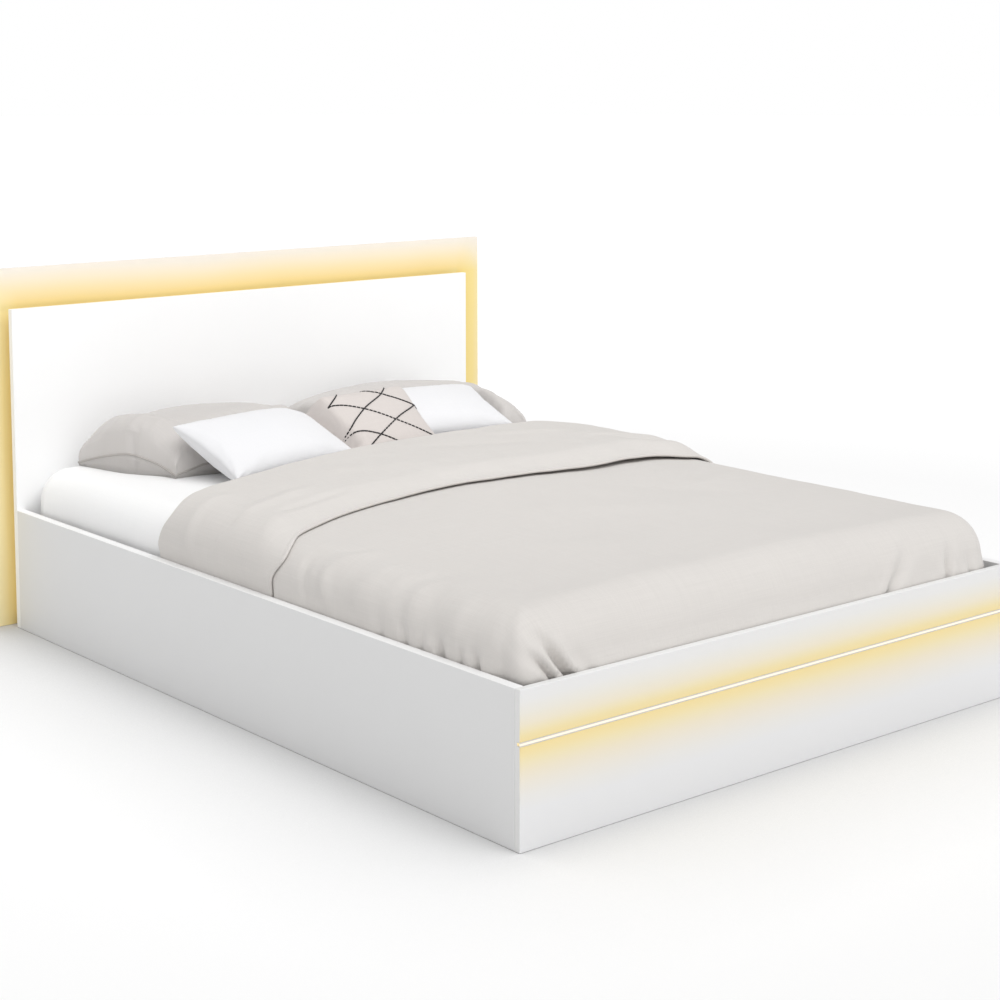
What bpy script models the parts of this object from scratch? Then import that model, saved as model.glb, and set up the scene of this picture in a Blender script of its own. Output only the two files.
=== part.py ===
"""Double bed: panelled frame with lit headboard and footboard, slatted base, mattress and bedding.

The origin is on the floor under the middle of the bed. The foot of the bed is towards -Y, the
headboard towards +Y, and +Z is up.
"""

import math

import bmesh
import bpy
from mathutils import Matrix, Vector
from mathutils.bvhtree import BVHTree

# Frame panels
BED_WIDTH = 1.46
BED_LENGTH = 1.95
RAIL_HEIGHT = 0.305
SIDE_THICKNESS = 0.022
FOOTBOARD_THICKNESS = 0.016
FRONT_PANEL_HEIGHT = 0.815
FRONT_PANEL_THICKNESS = 0.018
BACK_PANEL_RISE = 0.100
BACK_PANEL_THICKNESS = 0.016
BACK_PANEL_WING = 0.085
HEADBOARD_CAVITY = 0.030
PANEL_EDGE = 0.001

# Touching pieces lie this far apart, and cuts run this far past a face
JOINT_GAP = 0.0003
CUT_OVERRUN = 0.002

# Battens, light strips and power supply behind the front panel
BATTEN_WIDTH = 0.040
BATTEN_INSET = 0.025
LED_TAPE_WIDTH = 0.010
LED_TAPE_THICKNESS = 0.0025
DRIVER_LENGTH = 0.150
DRIVER_HEIGHT = 0.042
DRIVER_DEPTH = 0.022
DRIVER_EDGE = 0.003
DRIVER_OFFSET_X = 0.350
DRIVER_BASE_Z = 0.120
INLET_RADIUS = 0.007
INLET_BORE_RADIUS = 0.003
INLET_LENGTH = 0.014
INLET_BORE_DEPTH = 0.010

# Light line let into the footboard's outer face
LED_LINE_Z = 0.203
LED_LINE_HEIGHT = 0.006
LED_PROFILE_WALL = 0.001
LED_PROFILE_DEPTH = 0.009
LED_STRIP_HEIGHT = 0.0045
LED_STRIP_THICKNESS = 0.0015
LED_DIFFUSER_DEPTH = 0.002

# Corner brackets and their screws
BRACKET_LEG = 0.036
BRACKET_THICKNESS = 0.0025
BRACKET_HEIGHT = 0.060
BRACKET_BASE_Z = 0.085
SCREW_RADIUS = 0.002
SCREW_HOLE_RADIUS = 0.0024
SCREW_LENGTH = 0.0125
SCREW_HEAD_RADIUS = 0.0042
SCREW_HEAD_HEIGHT = 0.0022
SCREW_TIP = 0.0015
SCREW_SIDES = 10

# Slatted base: ledges, centre beam, slats and the tapes that space them
SLAT_DROP = 0.065
SLAT_COUNT = 13
SLAT_WIDTH = 0.070
SLAT_THICKNESS = 0.018
SLAT_END_CLEARANCE = 0.004
SLAT_FIRST_OFFSET = 0.060
SLAT_EDGE = 0.002
TAPE_WIDTH = 0.030
TAPE_THICKNESS = 0.0014
TAPE_OVERHANG = 0.010
TAPE_OFFSET_X = 0.450
LEDGE_WIDTH = 0.028
LEDGE_HEIGHT = 0.038
LEDGE_END_CLEARANCE = 0.045
BEAM_WIDTH = 0.045
BEAM_HEIGHT = 0.070
BEAM_END_CLEARANCE = 0.003
WOOD_EDGE = 0.0015
HANGER_STEEL = 0.002
HANGER_DEPTH = 0.035
HANGER_HEIGHT = 0.050
HANGER_FLANGE = 0.022
HANGER_LIP = 0.006

# Legs under the centre beam and their screw feet
LEG_OFFSET_Y = 0.480
LEG_PLATE_RADIUS = 0.034
LEG_PLATE_THICKNESS = 0.004
LEG_RADIUS = 0.019
LEG_BORE_RADIUS = 0.0056
LEG_SIDES = 20
FOOT_RADIUS = 0.022
FOOT_HEIGHT = 0.012
FOOT_CHAMFER = 0.002
FOOT_STUD_RADIUS = 0.0050
FOOT_STUD_LENGTH = 0.045
FOOT_TRAVEL = 0.015
FOOT_CLEARANCE = 0.002

# Mattress and fitted sheet
MATTRESS_THICKNESS = 0.170
MATTRESS_SIDE_CLEARANCE = 0.0155
MATTRESS_FOOT_CLEARANCE = 0.038
MATTRESS_HEAD_CLEARANCE = 0.006
MATTRESS_CORNER_RADIUS = 0.080
MATTRESS_TOP_RADIUS = 0.072
MATTRESS_BOTTOM_RADIUS = 0.020
SHEET_THICKNESS = 0.0012
SHEET_SKIRT_RISE = 0.030
CORNER_STEPS = 5
FILLET_STEPS = 5
BOTTOM_FILLET_STEPS = 2

# Duvet: laid over the sheet, tucked inside the rails, its head end folded back
DUVET_LOFT = 0.010
DUVET_TUCK_THICKNESS = 0.009
DUVET_TUCK_DEPTH = 0.040
DUVET_FLAP_LOFT = 0.028
DUVET_SIDE_CLEARANCE = 0.0022
DUVET_CROWN = 0.020
DUVET_FLAP_STEP = 0.010
DUVET_CORNER_FOLD = 0.007
DUVET_CORNER_FOLDS = 3
DUVET_CORNER_LIMIT = 0.030
DUVET_TO_HEADBOARD = 0.571
DUVET_HEAD_SWEEP = 0.200
DUVET_FLAP_WIDTH = 0.452
DUVET_FLAP_SWEEP = 0.170
DUVET_SIDE_STEPS = 2
DUVET_SHOULDER_STEPS = 5
DUVET_ACROSS_STEPS = 10
DUVET_LENGTH_STEPS = 7
DUVET_FLAP_STEPS = 4
DUVET_ROLL_STEPS = 4
# From the left edge to the right edge: place across, how far the head edge falls back as a
# share of its sweep, and how far the flap's edge falls back as a share of its own sweep
DUVET_EDGE_SHARES = (
    (-1.00, 0.44, 0.50),
    (-0.88, 0.62, 0.72),
    (-0.79, 1.00, 1.00),
    (-0.64, 0.75, 0.58),
    (-0.38, 0.41, 0.18),
    (-0.08, 0.16, 0.00),
    (0.18, 0.00, 0.14),
    (0.43, 0.13, 0.26),
    (0.63, 0.42, 0.40),
    (0.79, 0.84, 0.75),
    (1.00, 0.80, 0.60),
)

# Pillows and cushions
PILLOW_WIDTH = 0.575
PILLOW_DEPTH = 0.385
PILLOW_LOFT = 0.138
PILLOW_SEAM_LIFT = 0.036
PILLOW_CORNER_LIFT = 0.026
PILLOW_PRESSED_LOFT = 0.012
PRESS_REACH = 0.034
PILLOW_DRAW = 0.060
PILLOW_FULLNESS_SHARE = 0.34
PILLOW_OFFSET_X = 0.308
PILLOW_TO_HEADBOARD = 0.231
PILLOW_TURN = math.radians(5)
CUSHION_WIDTH = 0.420
CUSHION_DEPTH = 0.245
CUSHION_LOFT = 0.104
CUSHION_DRAW = 0.070
CUSHION_FULLNESS_SHARE = 0.42
SEAM_DROOP_POWER = 3
CUSHION_TOP_SHARE = 0.85
CUSHION_UNDER_SHARE = 1.35
PATTERNED_WIDTH = 0.320
PATTERNED_DEPTH = 0.235
PATTERNED_LOFT = 0.092
PATTERNED_DRAW = 0.075
STUFFED_STEPS = 14
PRESS_STEPS = 12
SOFT_GAP = 0.0010
SOFT_GROWTH_SHARE = 1.014

# Where each cushion's centre lies: across the bed, from the headboard and above the sheet
LEFT_CUSHION_X = -0.271
LEFT_CUSHION_TO_HEADBOARD = 0.446
LEFT_CUSHION_RISE = 0.080
LEFT_CUSHION_TURN = math.radians(11)
LEFT_CUSHION_LEAN = math.radians(25)
RIGHT_CUSHION_X = 0.300
RIGHT_CUSHION_TO_HEADBOARD = 0.358
RIGHT_CUSHION_RISE = 0.080
RIGHT_CUSHION_TURN = math.radians(-8)
RIGHT_CUSHION_LEAN = math.radians(19)
PATTERNED_CUSHION_X = 0.066
PATTERNED_CUSHION_TO_HEADBOARD = 0.459
PATTERNED_CUSHION_RISE = 0.084
PATTERNED_CUSHION_TURN = math.radians(6)
PATTERNED_CUSHION_LEAN = math.radians(42)

# Places that several pieces share
TOTAL_LENGTH = BED_LENGTH + FRONT_PANEL_THICKNESS + HEADBOARD_CAVITY + BACK_PANEL_THICKNESS
FOOT_FACE_Y = -TOTAL_LENGTH / 2
FOOT_INNER_Y = FOOT_FACE_Y + FOOTBOARD_THICKNESS
HEAD_FACE_Y = FOOT_FACE_Y + BED_LENGTH
CAVITY_FRONT_Y = HEAD_FACE_Y + FRONT_PANEL_THICKNESS
CAVITY_BACK_Y = CAVITY_FRONT_Y + HEADBOARD_CAVITY
SIDE_INNER_X = BED_WIDTH / 2 - SIDE_THICKNESS
BACK_PANEL_HEIGHT = FRONT_PANEL_HEIGHT + BACK_PANEL_RISE
SLAT_TOP_Z = RAIL_HEIGHT - SLAT_DROP
LEDGE_TOP_Z = SLAT_TOP_Z - SLAT_THICKNESS - JOINT_GAP
MATTRESS_BASE_Z = SLAT_TOP_Z + JOINT_GAP
MATTRESS_TOP_Z = MATTRESS_BASE_Z + MATTRESS_THICKNESS
MATTRESS_WIDTH = 2 * (SIDE_INNER_X - MATTRESS_SIDE_CLEARANCE)
MATTRESS_LENGTH = HEAD_FACE_Y - MATTRESS_HEAD_CLEARANCE - FOOT_INNER_Y - MATTRESS_FOOT_CLEARANCE
MATTRESS_CENTRE_Y = HEAD_FACE_Y - MATTRESS_HEAD_CLEARANCE - MATTRESS_LENGTH / 2
SHEET_TOP_Z = MATTRESS_TOP_Z + JOINT_GAP + SHEET_THICKNESS

# Material name: base colour, roughness, metallic
FINISHES = {
    "white_laminate": ((0.86, 0.86, 0.86, 1.0), 0.35, 0.0),
    "pine": ((0.72, 0.55, 0.36, 1.0), 0.6, 0.0),
    "zinc_steel": ((0.62, 0.63, 0.65, 1.0), 0.35, 1.0),
    "aluminium": ((0.80, 0.81, 0.82, 1.0), 0.3, 1.0),
    "led_light": ((1.0, 0.86, 0.50, 1.0), 0.4, 0.0),
    "white_plastic": ((0.85, 0.85, 0.84, 1.0), 0.45, 0.0),
    "black_plastic": ((0.03, 0.03, 0.03, 1.0), 0.5, 0.0),
    "webbing": ((0.55, 0.53, 0.50, 1.0), 0.85, 0.0),
    "mattress_ticking": ((0.80, 0.79, 0.77, 1.0), 0.85, 0.0),
    "white_cotton": ((0.88, 0.88, 0.88, 1.0), 0.85, 0.0),
    "greige_cotton": ((0.66, 0.63, 0.60, 1.0), 0.85, 0.0),
    "stitched_cotton": ((0.68, 0.65, 0.62, 1.0), 0.85, 0.0),
}


def clear_scene():
    for obj in list(bpy.data.objects):
        bpy.data.objects.remove(obj, do_unlink=True)


def make_material(name):
    colour, roughness, metallic = FINISHES[name]
    material = bpy.data.materials.new(name)
    material.use_nodes = True
    shader = material.node_tree.nodes["Principled BSDF"]
    shader.inputs["Base Color"].default_value = colour
    shader.inputs["Roughness"].default_value = roughness
    shader.inputs["Metallic"].default_value = metallic
    material.diffuse_color = colour
    return material


def finish_of(name):
    return bpy.data.materials.get(name) or make_material(name)


def make_group(name, place):
    """An empty that carries a set of pieces."""
    group = bpy.data.objects.new(name, None)
    group.location = place
    bpy.context.collection.objects.link(group)
    return group


def make_object(name, mesh, finish, group, place=(0.0, 0.0, 0.0), turn=(0.0, 0.0, 0.0)):
    """An object under its group. Its place is given in the world, and turned into the group's."""
    obj = bpy.data.objects.new(name, mesh)
    if not mesh.materials:
        mesh.materials.append(finish_of(finish))
    obj.parent = group
    obj.location = Vector(place) - group.location
    obj.rotation_euler = turn
    bpy.context.collection.objects.link(obj)
    return obj


def mesh_from(name, points, faces):
    """A mesh with its faces turned outwards."""
    mesh = bpy.data.meshes.new(name)
    mesh.from_pydata([tuple(point) for point in points], [], faces)
    body = bmesh.new()
    body.from_mesh(mesh)
    bmesh.ops.recalc_face_normals(body, faces=body.faces)
    if body.calc_volume(signed=True) < 0:
        bmesh.ops.reverse_faces(body, faces=body.faces)
    body.to_mesh(mesh)
    body.free()
    return mesh


def block_mesh(name, size):
    """A block around its own centre."""
    body = bmesh.new()
    bmesh.ops.create_cube(body, size=1)
    bmesh.ops.scale(body, vec=size, verts=body.verts)
    mesh = bpy.data.meshes.new(name)
    body.to_mesh(mesh)
    body.free()
    return mesh


def block(name, low, high, finish, group, edge=0.0):
    """A block between two corners, with its edges broken."""
    low, high = Vector(low), Vector(high)
    obj = make_object(name, block_mesh(name, high - low), finish, group, (low + high) / 2)
    if edge:
        break_edges(obj, edge)
    return obj


def break_edges(obj, width):
    bevel = obj.modifiers.new("edges", "BEVEL")
    bevel.width = width
    bevel.segments = 1


def cut(obj, mesh, group, place, turn=(0.0, 0.0, 0.0)):
    """Take a shape away from an object."""
    cutter = make_object(obj.name + "_cutter", mesh, "black_plastic", group, place, turn)
    cutter.hide_render = True
    cutter.display_type = "WIRE"
    boolean = obj.modifiers.new("cut", "BOOLEAN")
    boolean.operation = "DIFFERENCE"
    boolean.solver = "EXACT"
    boolean.object = cutter


def turned_mesh(name, profile, sides):
    """A solid turned about Z from (radius, height) points that run from axis to axis."""
    points = []
    rings = []
    for radius, height in profile:
        start = len(points)
        if radius == 0.0:
            points.append((0.0, 0.0, height))
            rings.append([start])
            continue
        for step in range(sides):
            angle = 2 * math.pi * step / sides
            points.append((radius * math.cos(angle), radius * math.sin(angle), height))
        rings.append(list(range(start, start + sides)))
    faces = []
    for first, second in zip(rings, rings[1:]):
        for step in range(sides):
            after = (step + 1) % sides
            corners = [first[step % len(first)], first[after % len(first)]]
            corners += [second[after % len(second)], second[step % len(second)]]
            faces.append(list(dict.fromkeys(corners)))
    return mesh_from(name, points, faces)


def extruded_mesh(name, outline, length):
    """A solid from an (x, z) outline, extruded along +Y."""
    points = [(x, 0.0, z) for x, z in outline] + [(x, length, z) for x, z in outline]
    count = len(outline)
    faces = [list(range(count)), list(range(count, 2 * count))]
    for index in range(count):
        after = (index + 1) % count
        faces.append([index, after, count + after, count + index])
    return mesh_from(name, points, faces)


def smooth_share(share):
    """0 to 1 with soft ends."""
    share = min(max(share, 0.0), 1.0)
    return share * share * (3 - 2 * share)


# Headboard: two panels with a batten frame, light strips and power supply between them
def build_headboard():
    group = make_group("headboard", (0.0, HEAD_FACE_Y, 0.0))
    half = BED_WIDTH / 2
    block(
        "headboard_back_panel",
        (-half - BACK_PANEL_WING, CAVITY_BACK_Y, 0.0),
        (half + BACK_PANEL_WING, CAVITY_BACK_Y + BACK_PANEL_THICKNESS, BACK_PANEL_HEIGHT),
        "white_laminate", group, PANEL_EDGE,
    )
    front = block(
        "headboard_front_panel",
        (-half, HEAD_FACE_Y, 0.0),
        (half, CAVITY_FRONT_Y, FRONT_PANEL_HEIGHT),
        "white_laminate", group, PANEL_EDGE,
    )
    build_battens(group)
    build_power_supply(group)
    return front


def build_battens(group):
    near_y = CAVITY_FRONT_Y + JOINT_GAP
    far_y = CAVITY_BACK_Y - JOINT_GAP
    outer_x = BED_WIDTH / 2 - BATTEN_INSET
    inner_x = outer_x - BATTEN_WIDTH
    top_z = FRONT_PANEL_HEIGHT - BATTEN_INSET
    tape_y = (CAVITY_FRONT_Y + CAVITY_BACK_Y) / 2
    tape_near, tape_far = tape_y - LED_TAPE_WIDTH / 2, tape_y + LED_TAPE_WIDTH / 2
    for side, name in ((-1, "left"), (1, "right")):
        inner, outer = side * inner_x, side * outer_x
        block(
            "headboard_batten_" + name,
            (min(inner, outer), near_y, 0.0),
            (max(inner, outer), far_y, top_z),
            "pine", group, WOOD_EDGE,
        )
        seat = outer + side * JOINT_GAP
        face = seat + side * LED_TAPE_THICKNESS
        block(
            "headboard_led_" + name,
            (min(seat, face), tape_near, BATTEN_INSET),
            (max(seat, face), tape_far, top_z),
            "led_light", group,
        )
    block(
        "headboard_batten_top",
        (-inner_x + JOINT_GAP, near_y, top_z - BATTEN_WIDTH),
        (inner_x - JOINT_GAP, far_y, top_z),
        "pine", group, WOOD_EDGE,
    )
    block(
        "headboard_led_top",
        (-outer_x, tape_near, top_z + JOINT_GAP),
        (outer_x, tape_far, top_z + JOINT_GAP + LED_TAPE_THICKNESS),
        "led_light", group,
    )


def build_power_supply(group):
    """The supply sits on the back panel, out of sight, with its socket facing down."""
    far_y = CAVITY_BACK_Y - JOINT_GAP
    near_y = far_y - DRIVER_DEPTH
    block(
        "led_power_supply",
        (DRIVER_OFFSET_X - DRIVER_LENGTH / 2, near_y, DRIVER_BASE_Z),
        (DRIVER_OFFSET_X + DRIVER_LENGTH / 2, far_y, DRIVER_BASE_Z + DRIVER_HEIGHT),
        "white_plastic", group, DRIVER_EDGE,
    )
    profile = (
        (0.0, INLET_LENGTH),
        (INLET_RADIUS, INLET_LENGTH),
        (INLET_RADIUS, 0.0),
        (INLET_BORE_RADIUS, 0.0),
        (INLET_BORE_RADIUS, INLET_BORE_DEPTH),
        (0.0, INLET_BORE_DEPTH),
    )
    place = (DRIVER_OFFSET_X, (near_y + far_y) / 2, DRIVER_BASE_Z - JOINT_GAP - INLET_LENGTH)
    mesh = turned_mesh("power_inlet", profile, LEG_SIDES)
    make_object("power_inlet", mesh, "black_plastic", group, place)


# Side panels and footboard, with the light line in the footboard
def build_frame():
    group = make_group("frame", (0.0, 0.0, 0.0))
    half = BED_WIDTH / 2
    sides = {}
    for side, name in ((-1, "left"), (1, "right")):
        inner, outer = side * SIDE_INNER_X, side * half
        sides[side] = block(
            "side_panel_" + name,
            (min(inner, outer), FOOT_INNER_Y + JOINT_GAP, 0.0),
            (max(inner, outer), HEAD_FACE_Y - JOINT_GAP, RAIL_HEIGHT),
            "white_laminate", group, PANEL_EDGE,
        )
    footboard = block(
        "footboard",
        (-half, FOOT_FACE_Y, 0.0),
        (half, FOOT_INNER_Y, RAIL_HEIGHT),
        "white_laminate", group, PANEL_EDGE,
    )
    build_light_line(footboard, group)
    return sides, footboard, group


def build_light_line(footboard, group):
    """An aluminium channel in a groove, with a light strip at its back and a diffuser in front."""
    half = BED_WIDTH / 2
    inner = LED_LINE_HEIGHT / 2 + JOINT_GAP
    outer = inner + LED_PROFILE_WALL
    groove = (
        BED_WIDTH + 2 * CUT_OVERRUN,
        2 * (LED_PROFILE_DEPTH + JOINT_GAP),
        2 * (outer + JOINT_GAP),
    )
    cut(footboard, block_mesh("groove", groove), group, (0.0, FOOT_FACE_Y, LED_LINE_Z))
    wall = LED_PROFILE_WALL
    outline = (
        (0.0, -outer), (LED_PROFILE_DEPTH, -outer), (LED_PROFILE_DEPTH, outer), (0.0, outer),
        (0.0, inner), (LED_PROFILE_DEPTH - wall, inner),
        (LED_PROFILE_DEPTH - wall, -inner), (0.0, -inner),
    )
    channel = extruded_mesh("footboard_led_channel", outline, BED_WIDTH)
    corner = (half, FOOT_FACE_Y, LED_LINE_Z)
    quarter_turn = math.pi / 2
    make_object("footboard_led_channel", channel, "aluminium", group, corner, (0.0, 0.0, quarter_turn))
    strip_far = FOOT_FACE_Y + LED_PROFILE_DEPTH - wall - JOINT_GAP
    block(
        "footboard_led_strip",
        (-half, strip_far - LED_STRIP_THICKNESS, LED_LINE_Z - LED_STRIP_HEIGHT / 2),
        (half, strip_far, LED_LINE_Z + LED_STRIP_HEIGHT / 2),
        "led_light", group,
    )
    block(
        "footboard_led_diffuser",
        (-half, FOOT_FACE_Y, LED_LINE_Z - LED_LINE_HEIGHT / 2),
        (half, FOOT_FACE_Y + LED_DIFFUSER_DEPTH, LED_LINE_Z + LED_LINE_HEIGHT / 2),
        "led_light", group,
    )


# Corner brackets: one screw into each panel that a bracket holds
def bracket_mesh():
    """An angle whose legs run towards +X and +Z, as long as the bracket is high."""
    leg, steel = BRACKET_LEG, BRACKET_THICKNESS
    outline = ((0.0, 0.0), (leg, 0.0), (leg, steel), (steel, steel), (steel, leg), (0.0, leg))
    return extruded_mesh("corner_bracket", outline, BRACKET_HEIGHT)


def screw_mesh():
    """The head's seat is at height zero and the shank points down."""
    profile = (
        (0.0, SCREW_HEAD_HEIGHT),
        (SCREW_HEAD_RADIUS / 2, SCREW_HEAD_HEIGHT),
        (SCREW_HEAD_RADIUS, SCREW_HEAD_HEIGHT / 2),
        (SCREW_HEAD_RADIUS, 0.0),
        (SCREW_RADIUS, 0.0),
        (SCREW_RADIUS, SCREW_TIP - SCREW_LENGTH),
        (0.0, -SCREW_LENGTH),
    )
    return turned_mesh("screw", profile, SCREW_SIDES)


def screw_hole_mesh():
    """A drilled hole around the screw, from above the bracket to past the screw's tip."""
    depth = SCREW_LENGTH + CUT_OVERRUN
    profile = (
        (0.0, SCREW_HEAD_HEIGHT),
        (SCREW_HOLE_RADIUS, SCREW_HEAD_HEIGHT),
        (SCREW_HOLE_RADIUS, -depth),
        (0.0, -depth),
    )
    return turned_mesh("screw_hole", profile, SCREW_SIDES)


def build_brackets(sides, footboard, front, group):
    quarter_turn = math.pi / 2
    for end, end_name in ((-1, "foot"), (1, "head")):
        for side, side_name in ((-1, "left"), (1, "right")):
            end_y = FOOT_INNER_Y if end < 0 else HEAD_FACE_Y
            corner_x = side * (SIDE_INNER_X - JOINT_GAP)
            corner_y = end_y - end * JOINT_GAP
            quarters = {(-1, -1): 0, (1, -1): 1, (1, 1): 2, (-1, 1): 3}[(side, end)]
            name = "corner_bracket_" + end_name + "_" + side_name
            place = (corner_x, corner_y, BRACKET_BASE_Z + BRACKET_HEIGHT)
            turn = (-quarter_turn, 0.0, quarters * quarter_turn)
            bracket = make_object(name, bracket_mesh(), "zinc_steel", group, place, turn)
            reach = BRACKET_THICKNESS + (BRACKET_LEG - BRACKET_THICKNESS) / 2
            seat = BRACKET_THICKNESS + JOINT_GAP
            height = BRACKET_BASE_Z + BRACKET_HEIGHT / 2
            panel = footboard if end < 0 else front
            seats = (
                (sides[side], "side", (corner_x - side * seat, corner_y - end * reach, height),
                 (0.0, -side * quarter_turn, 0.0)),
                (panel, "end", (corner_x - side * reach, corner_y - end * seat, height),
                 (end * quarter_turn, 0.0, 0.0)),
            )
            for held, which, place, tilt in seats:
                cut(bracket, screw_hole_mesh(), group, place, tilt)
                cut(held, screw_hole_mesh(), group, place, tilt)
                screw = "_".join(("bracket_screw", end_name, side_name, which))
                make_object(screw, screw_mesh(), "zinc_steel", group, place, tilt)


# Slatted base
def build_base():
    group = make_group("slatted_base", (0.0, 0.0, SLAT_TOP_Z))
    ledge_low = FOOT_INNER_Y + LEDGE_END_CLEARANCE
    ledge_high = HEAD_FACE_Y - LEDGE_END_CLEARANCE
    for side, name in ((-1, "left"), (1, "right")):
        outer = side * (SIDE_INNER_X - JOINT_GAP)
        inner = outer - side * LEDGE_WIDTH
        block(
            "side_ledge_" + name,
            (min(inner, outer), ledge_low, LEDGE_TOP_Z - LEDGE_HEIGHT),
            (max(inner, outer), ledge_high, LEDGE_TOP_Z),
            "pine", group, WOOD_EDGE,
        )
        tape_x = side * TAPE_OFFSET_X
        block(
            "slat_tape_" + name,
            (tape_x - TAPE_WIDTH / 2, slat_centre_y(0) - SLAT_WIDTH / 2 - TAPE_OVERHANG,
             LEDGE_TOP_Z - TAPE_THICKNESS),
            (tape_x + TAPE_WIDTH / 2,
             slat_centre_y(SLAT_COUNT - 1) + SLAT_WIDTH / 2 + TAPE_OVERHANG, LEDGE_TOP_Z),
            "webbing", group,
        )
    block(
        "centre_beam",
        (-BEAM_WIDTH / 2, FOOT_INNER_Y + BEAM_END_CLEARANCE, LEDGE_TOP_Z - BEAM_HEIGHT),
        (BEAM_WIDTH / 2, HEAD_FACE_Y - BEAM_END_CLEARANCE, LEDGE_TOP_Z),
        "pine", group, WOOD_EDGE,
    )
    half_length = SIDE_INNER_X - SLAT_END_CLEARANCE
    mesh = block_mesh("slat", (2 * half_length, SLAT_WIDTH, SLAT_THICKNESS))
    for index in range(SLAT_COUNT):
        place = (0.0, slat_centre_y(index), SLAT_TOP_Z - SLAT_THICKNESS / 2)
        slat = make_object(f"slat_{index + 1:02d}", mesh, "pine", group, place)
        break_edges(slat, SLAT_EDGE)
    build_hangers(group)
    build_legs(group)


def slat_centre_y(index):
    low = MATTRESS_CENTRE_Y - MATTRESS_LENGTH / 2 + SLAT_FIRST_OFFSET
    high = MATTRESS_CENTRE_Y + MATTRESS_LENGTH / 2 - SLAT_FIRST_OFFSET
    return low + (high - low) * index / (SLAT_COUNT - 1)


def build_hangers(group):
    """A steel stirrup at each end takes the centre beam: a back plate with flanges and a U."""
    inner = BEAM_WIDTH / 2 + JOINT_GAP
    outer = inner + HANGER_STEEL
    floor = LEDGE_TOP_Z - BEAM_HEIGHT - JOINT_GAP
    top = floor + HANGER_HEIGHT
    base = floor - HANGER_STEEL
    cradle = ((-outer, base), (outer, base), (outer, top), (inner, top), (inner, floor),
              (-inner, floor), (-inner, top), (-outer, top))
    reach = outer + HANGER_FLANGE
    for end, name in ((-1, "foot"), (1, "head")):
        wall_y = FOOT_INNER_Y + JOINT_GAP if end < 0 else HEAD_FACE_Y - JOINT_GAP
        plate_y = wall_y - end * HANGER_STEEL
        mesh = extruded_mesh("cradle", cradle, HANGER_DEPTH)
        seat_y = (wall_y + plate_y) / 2
        start_y = seat_y if end < 0 else seat_y - HANGER_DEPTH
        hanger = make_object("beam_hanger_" + name, mesh, "zinc_steel", group, (0.0, start_y, 0.0))
        plate = block(
            "hanger_plate_" + name,
            (-reach, min(wall_y, plate_y), base - HANGER_LIP),
            (reach, max(wall_y, plate_y), top + HANGER_LIP),
            "zinc_steel", group,
        )
        plate.hide_render = True
        plate.display_type = "WIRE"
        join = hanger.modifiers.new("plate", "BOOLEAN")
        join.operation = "UNION"
        join.solver = "EXACT"
        join.object = plate


def build_legs(group):
    top = LEDGE_TOP_Z - BEAM_HEIGHT - JOINT_GAP
    base = FOOT_HEIGHT + FOOT_TRAVEL + FOOT_CLEARANCE
    bore_top = FOOT_HEIGHT + FOOT_STUD_LENGTH + FOOT_TRAVEL + FOOT_CLEARANCE
    leg_profile = (
        (0.0, top),
        (LEG_PLATE_RADIUS, top),
        (LEG_PLATE_RADIUS, top - LEG_PLATE_THICKNESS),
        (LEG_RADIUS, top - LEG_PLATE_THICKNESS),
        (LEG_RADIUS, base),
        (LEG_BORE_RADIUS, base),
        (LEG_BORE_RADIUS, bore_top),
        (0.0, bore_top),
    )
    foot_profile = (
        (0.0, FOOT_HEIGHT + FOOT_STUD_LENGTH),
        (FOOT_STUD_RADIUS, FOOT_HEIGHT + FOOT_STUD_LENGTH),
        (FOOT_STUD_RADIUS, FOOT_HEIGHT),
        (FOOT_RADIUS - FOOT_CHAMFER, FOOT_HEIGHT),
        (FOOT_RADIUS, FOOT_HEIGHT - FOOT_CHAMFER),
        (FOOT_RADIUS, 0.0),
        (0.0, 0.0),
    )
    leg_mesh = turned_mesh("centre_leg", leg_profile, LEG_SIDES)
    foot_mesh = turned_mesh("screw_foot", foot_profile, LEG_SIDES)
    for end, name in ((-1, "foot_end"), (1, "head_end")):
        axis = make_group("leg_axis_" + name, (0.0, end * LEG_OFFSET_Y, 0.0))
        make_object("centre_leg_" + name, leg_mesh, "zinc_steel", axis, axis.location)
        make_object("screw_foot_" + name, foot_mesh, "black_plastic", axis, axis.location)


# Mattress and fitted sheet, as stacks of rounded rectangles
def rounded_rectangle(half_x, half_y, radius, height, steps):
    points = []
    for quarter, (side_x, side_y) in enumerate(((1, 1), (-1, 1), (-1, -1), (1, -1))):
        for step in range(steps + 1):
            angle = (quarter + step / steps) * math.pi / 2
            points.append((
                side_x * (half_x - radius) + radius * math.cos(angle),
                side_y * (half_y - radius) + radius * math.sin(angle),
                height,
            ))
    return points


def stacked_mesh(name, rings):
    """A closed solid through rings of equal counts, with flat ends."""
    count = len(rings[0])
    points = [point for ring in rings for point in ring]
    last = count * (len(rings) - 1)
    faces = [list(range(count)), list(range(last, last + count))]
    for level in range(len(rings) - 1):
        for index in range(count):
            after = (index + 1) % count
            low, high = level * count, (level + 1) * count
            faces.append([low + index, low + after, high + after, high + index])
    return mesh_from(name, points, faces)


def mattress_ring(offset, inset, height):
    """The mattress outline, grown by an offset and then drawn in."""
    grow = offset - inset
    radius = MATTRESS_CORNER_RADIUS + grow
    half_x, half_y = MATTRESS_WIDTH / 2 + grow, MATTRESS_LENGTH / 2 + grow
    return rounded_rectangle(half_x, half_y, radius, height, CORNER_STEPS)


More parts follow.
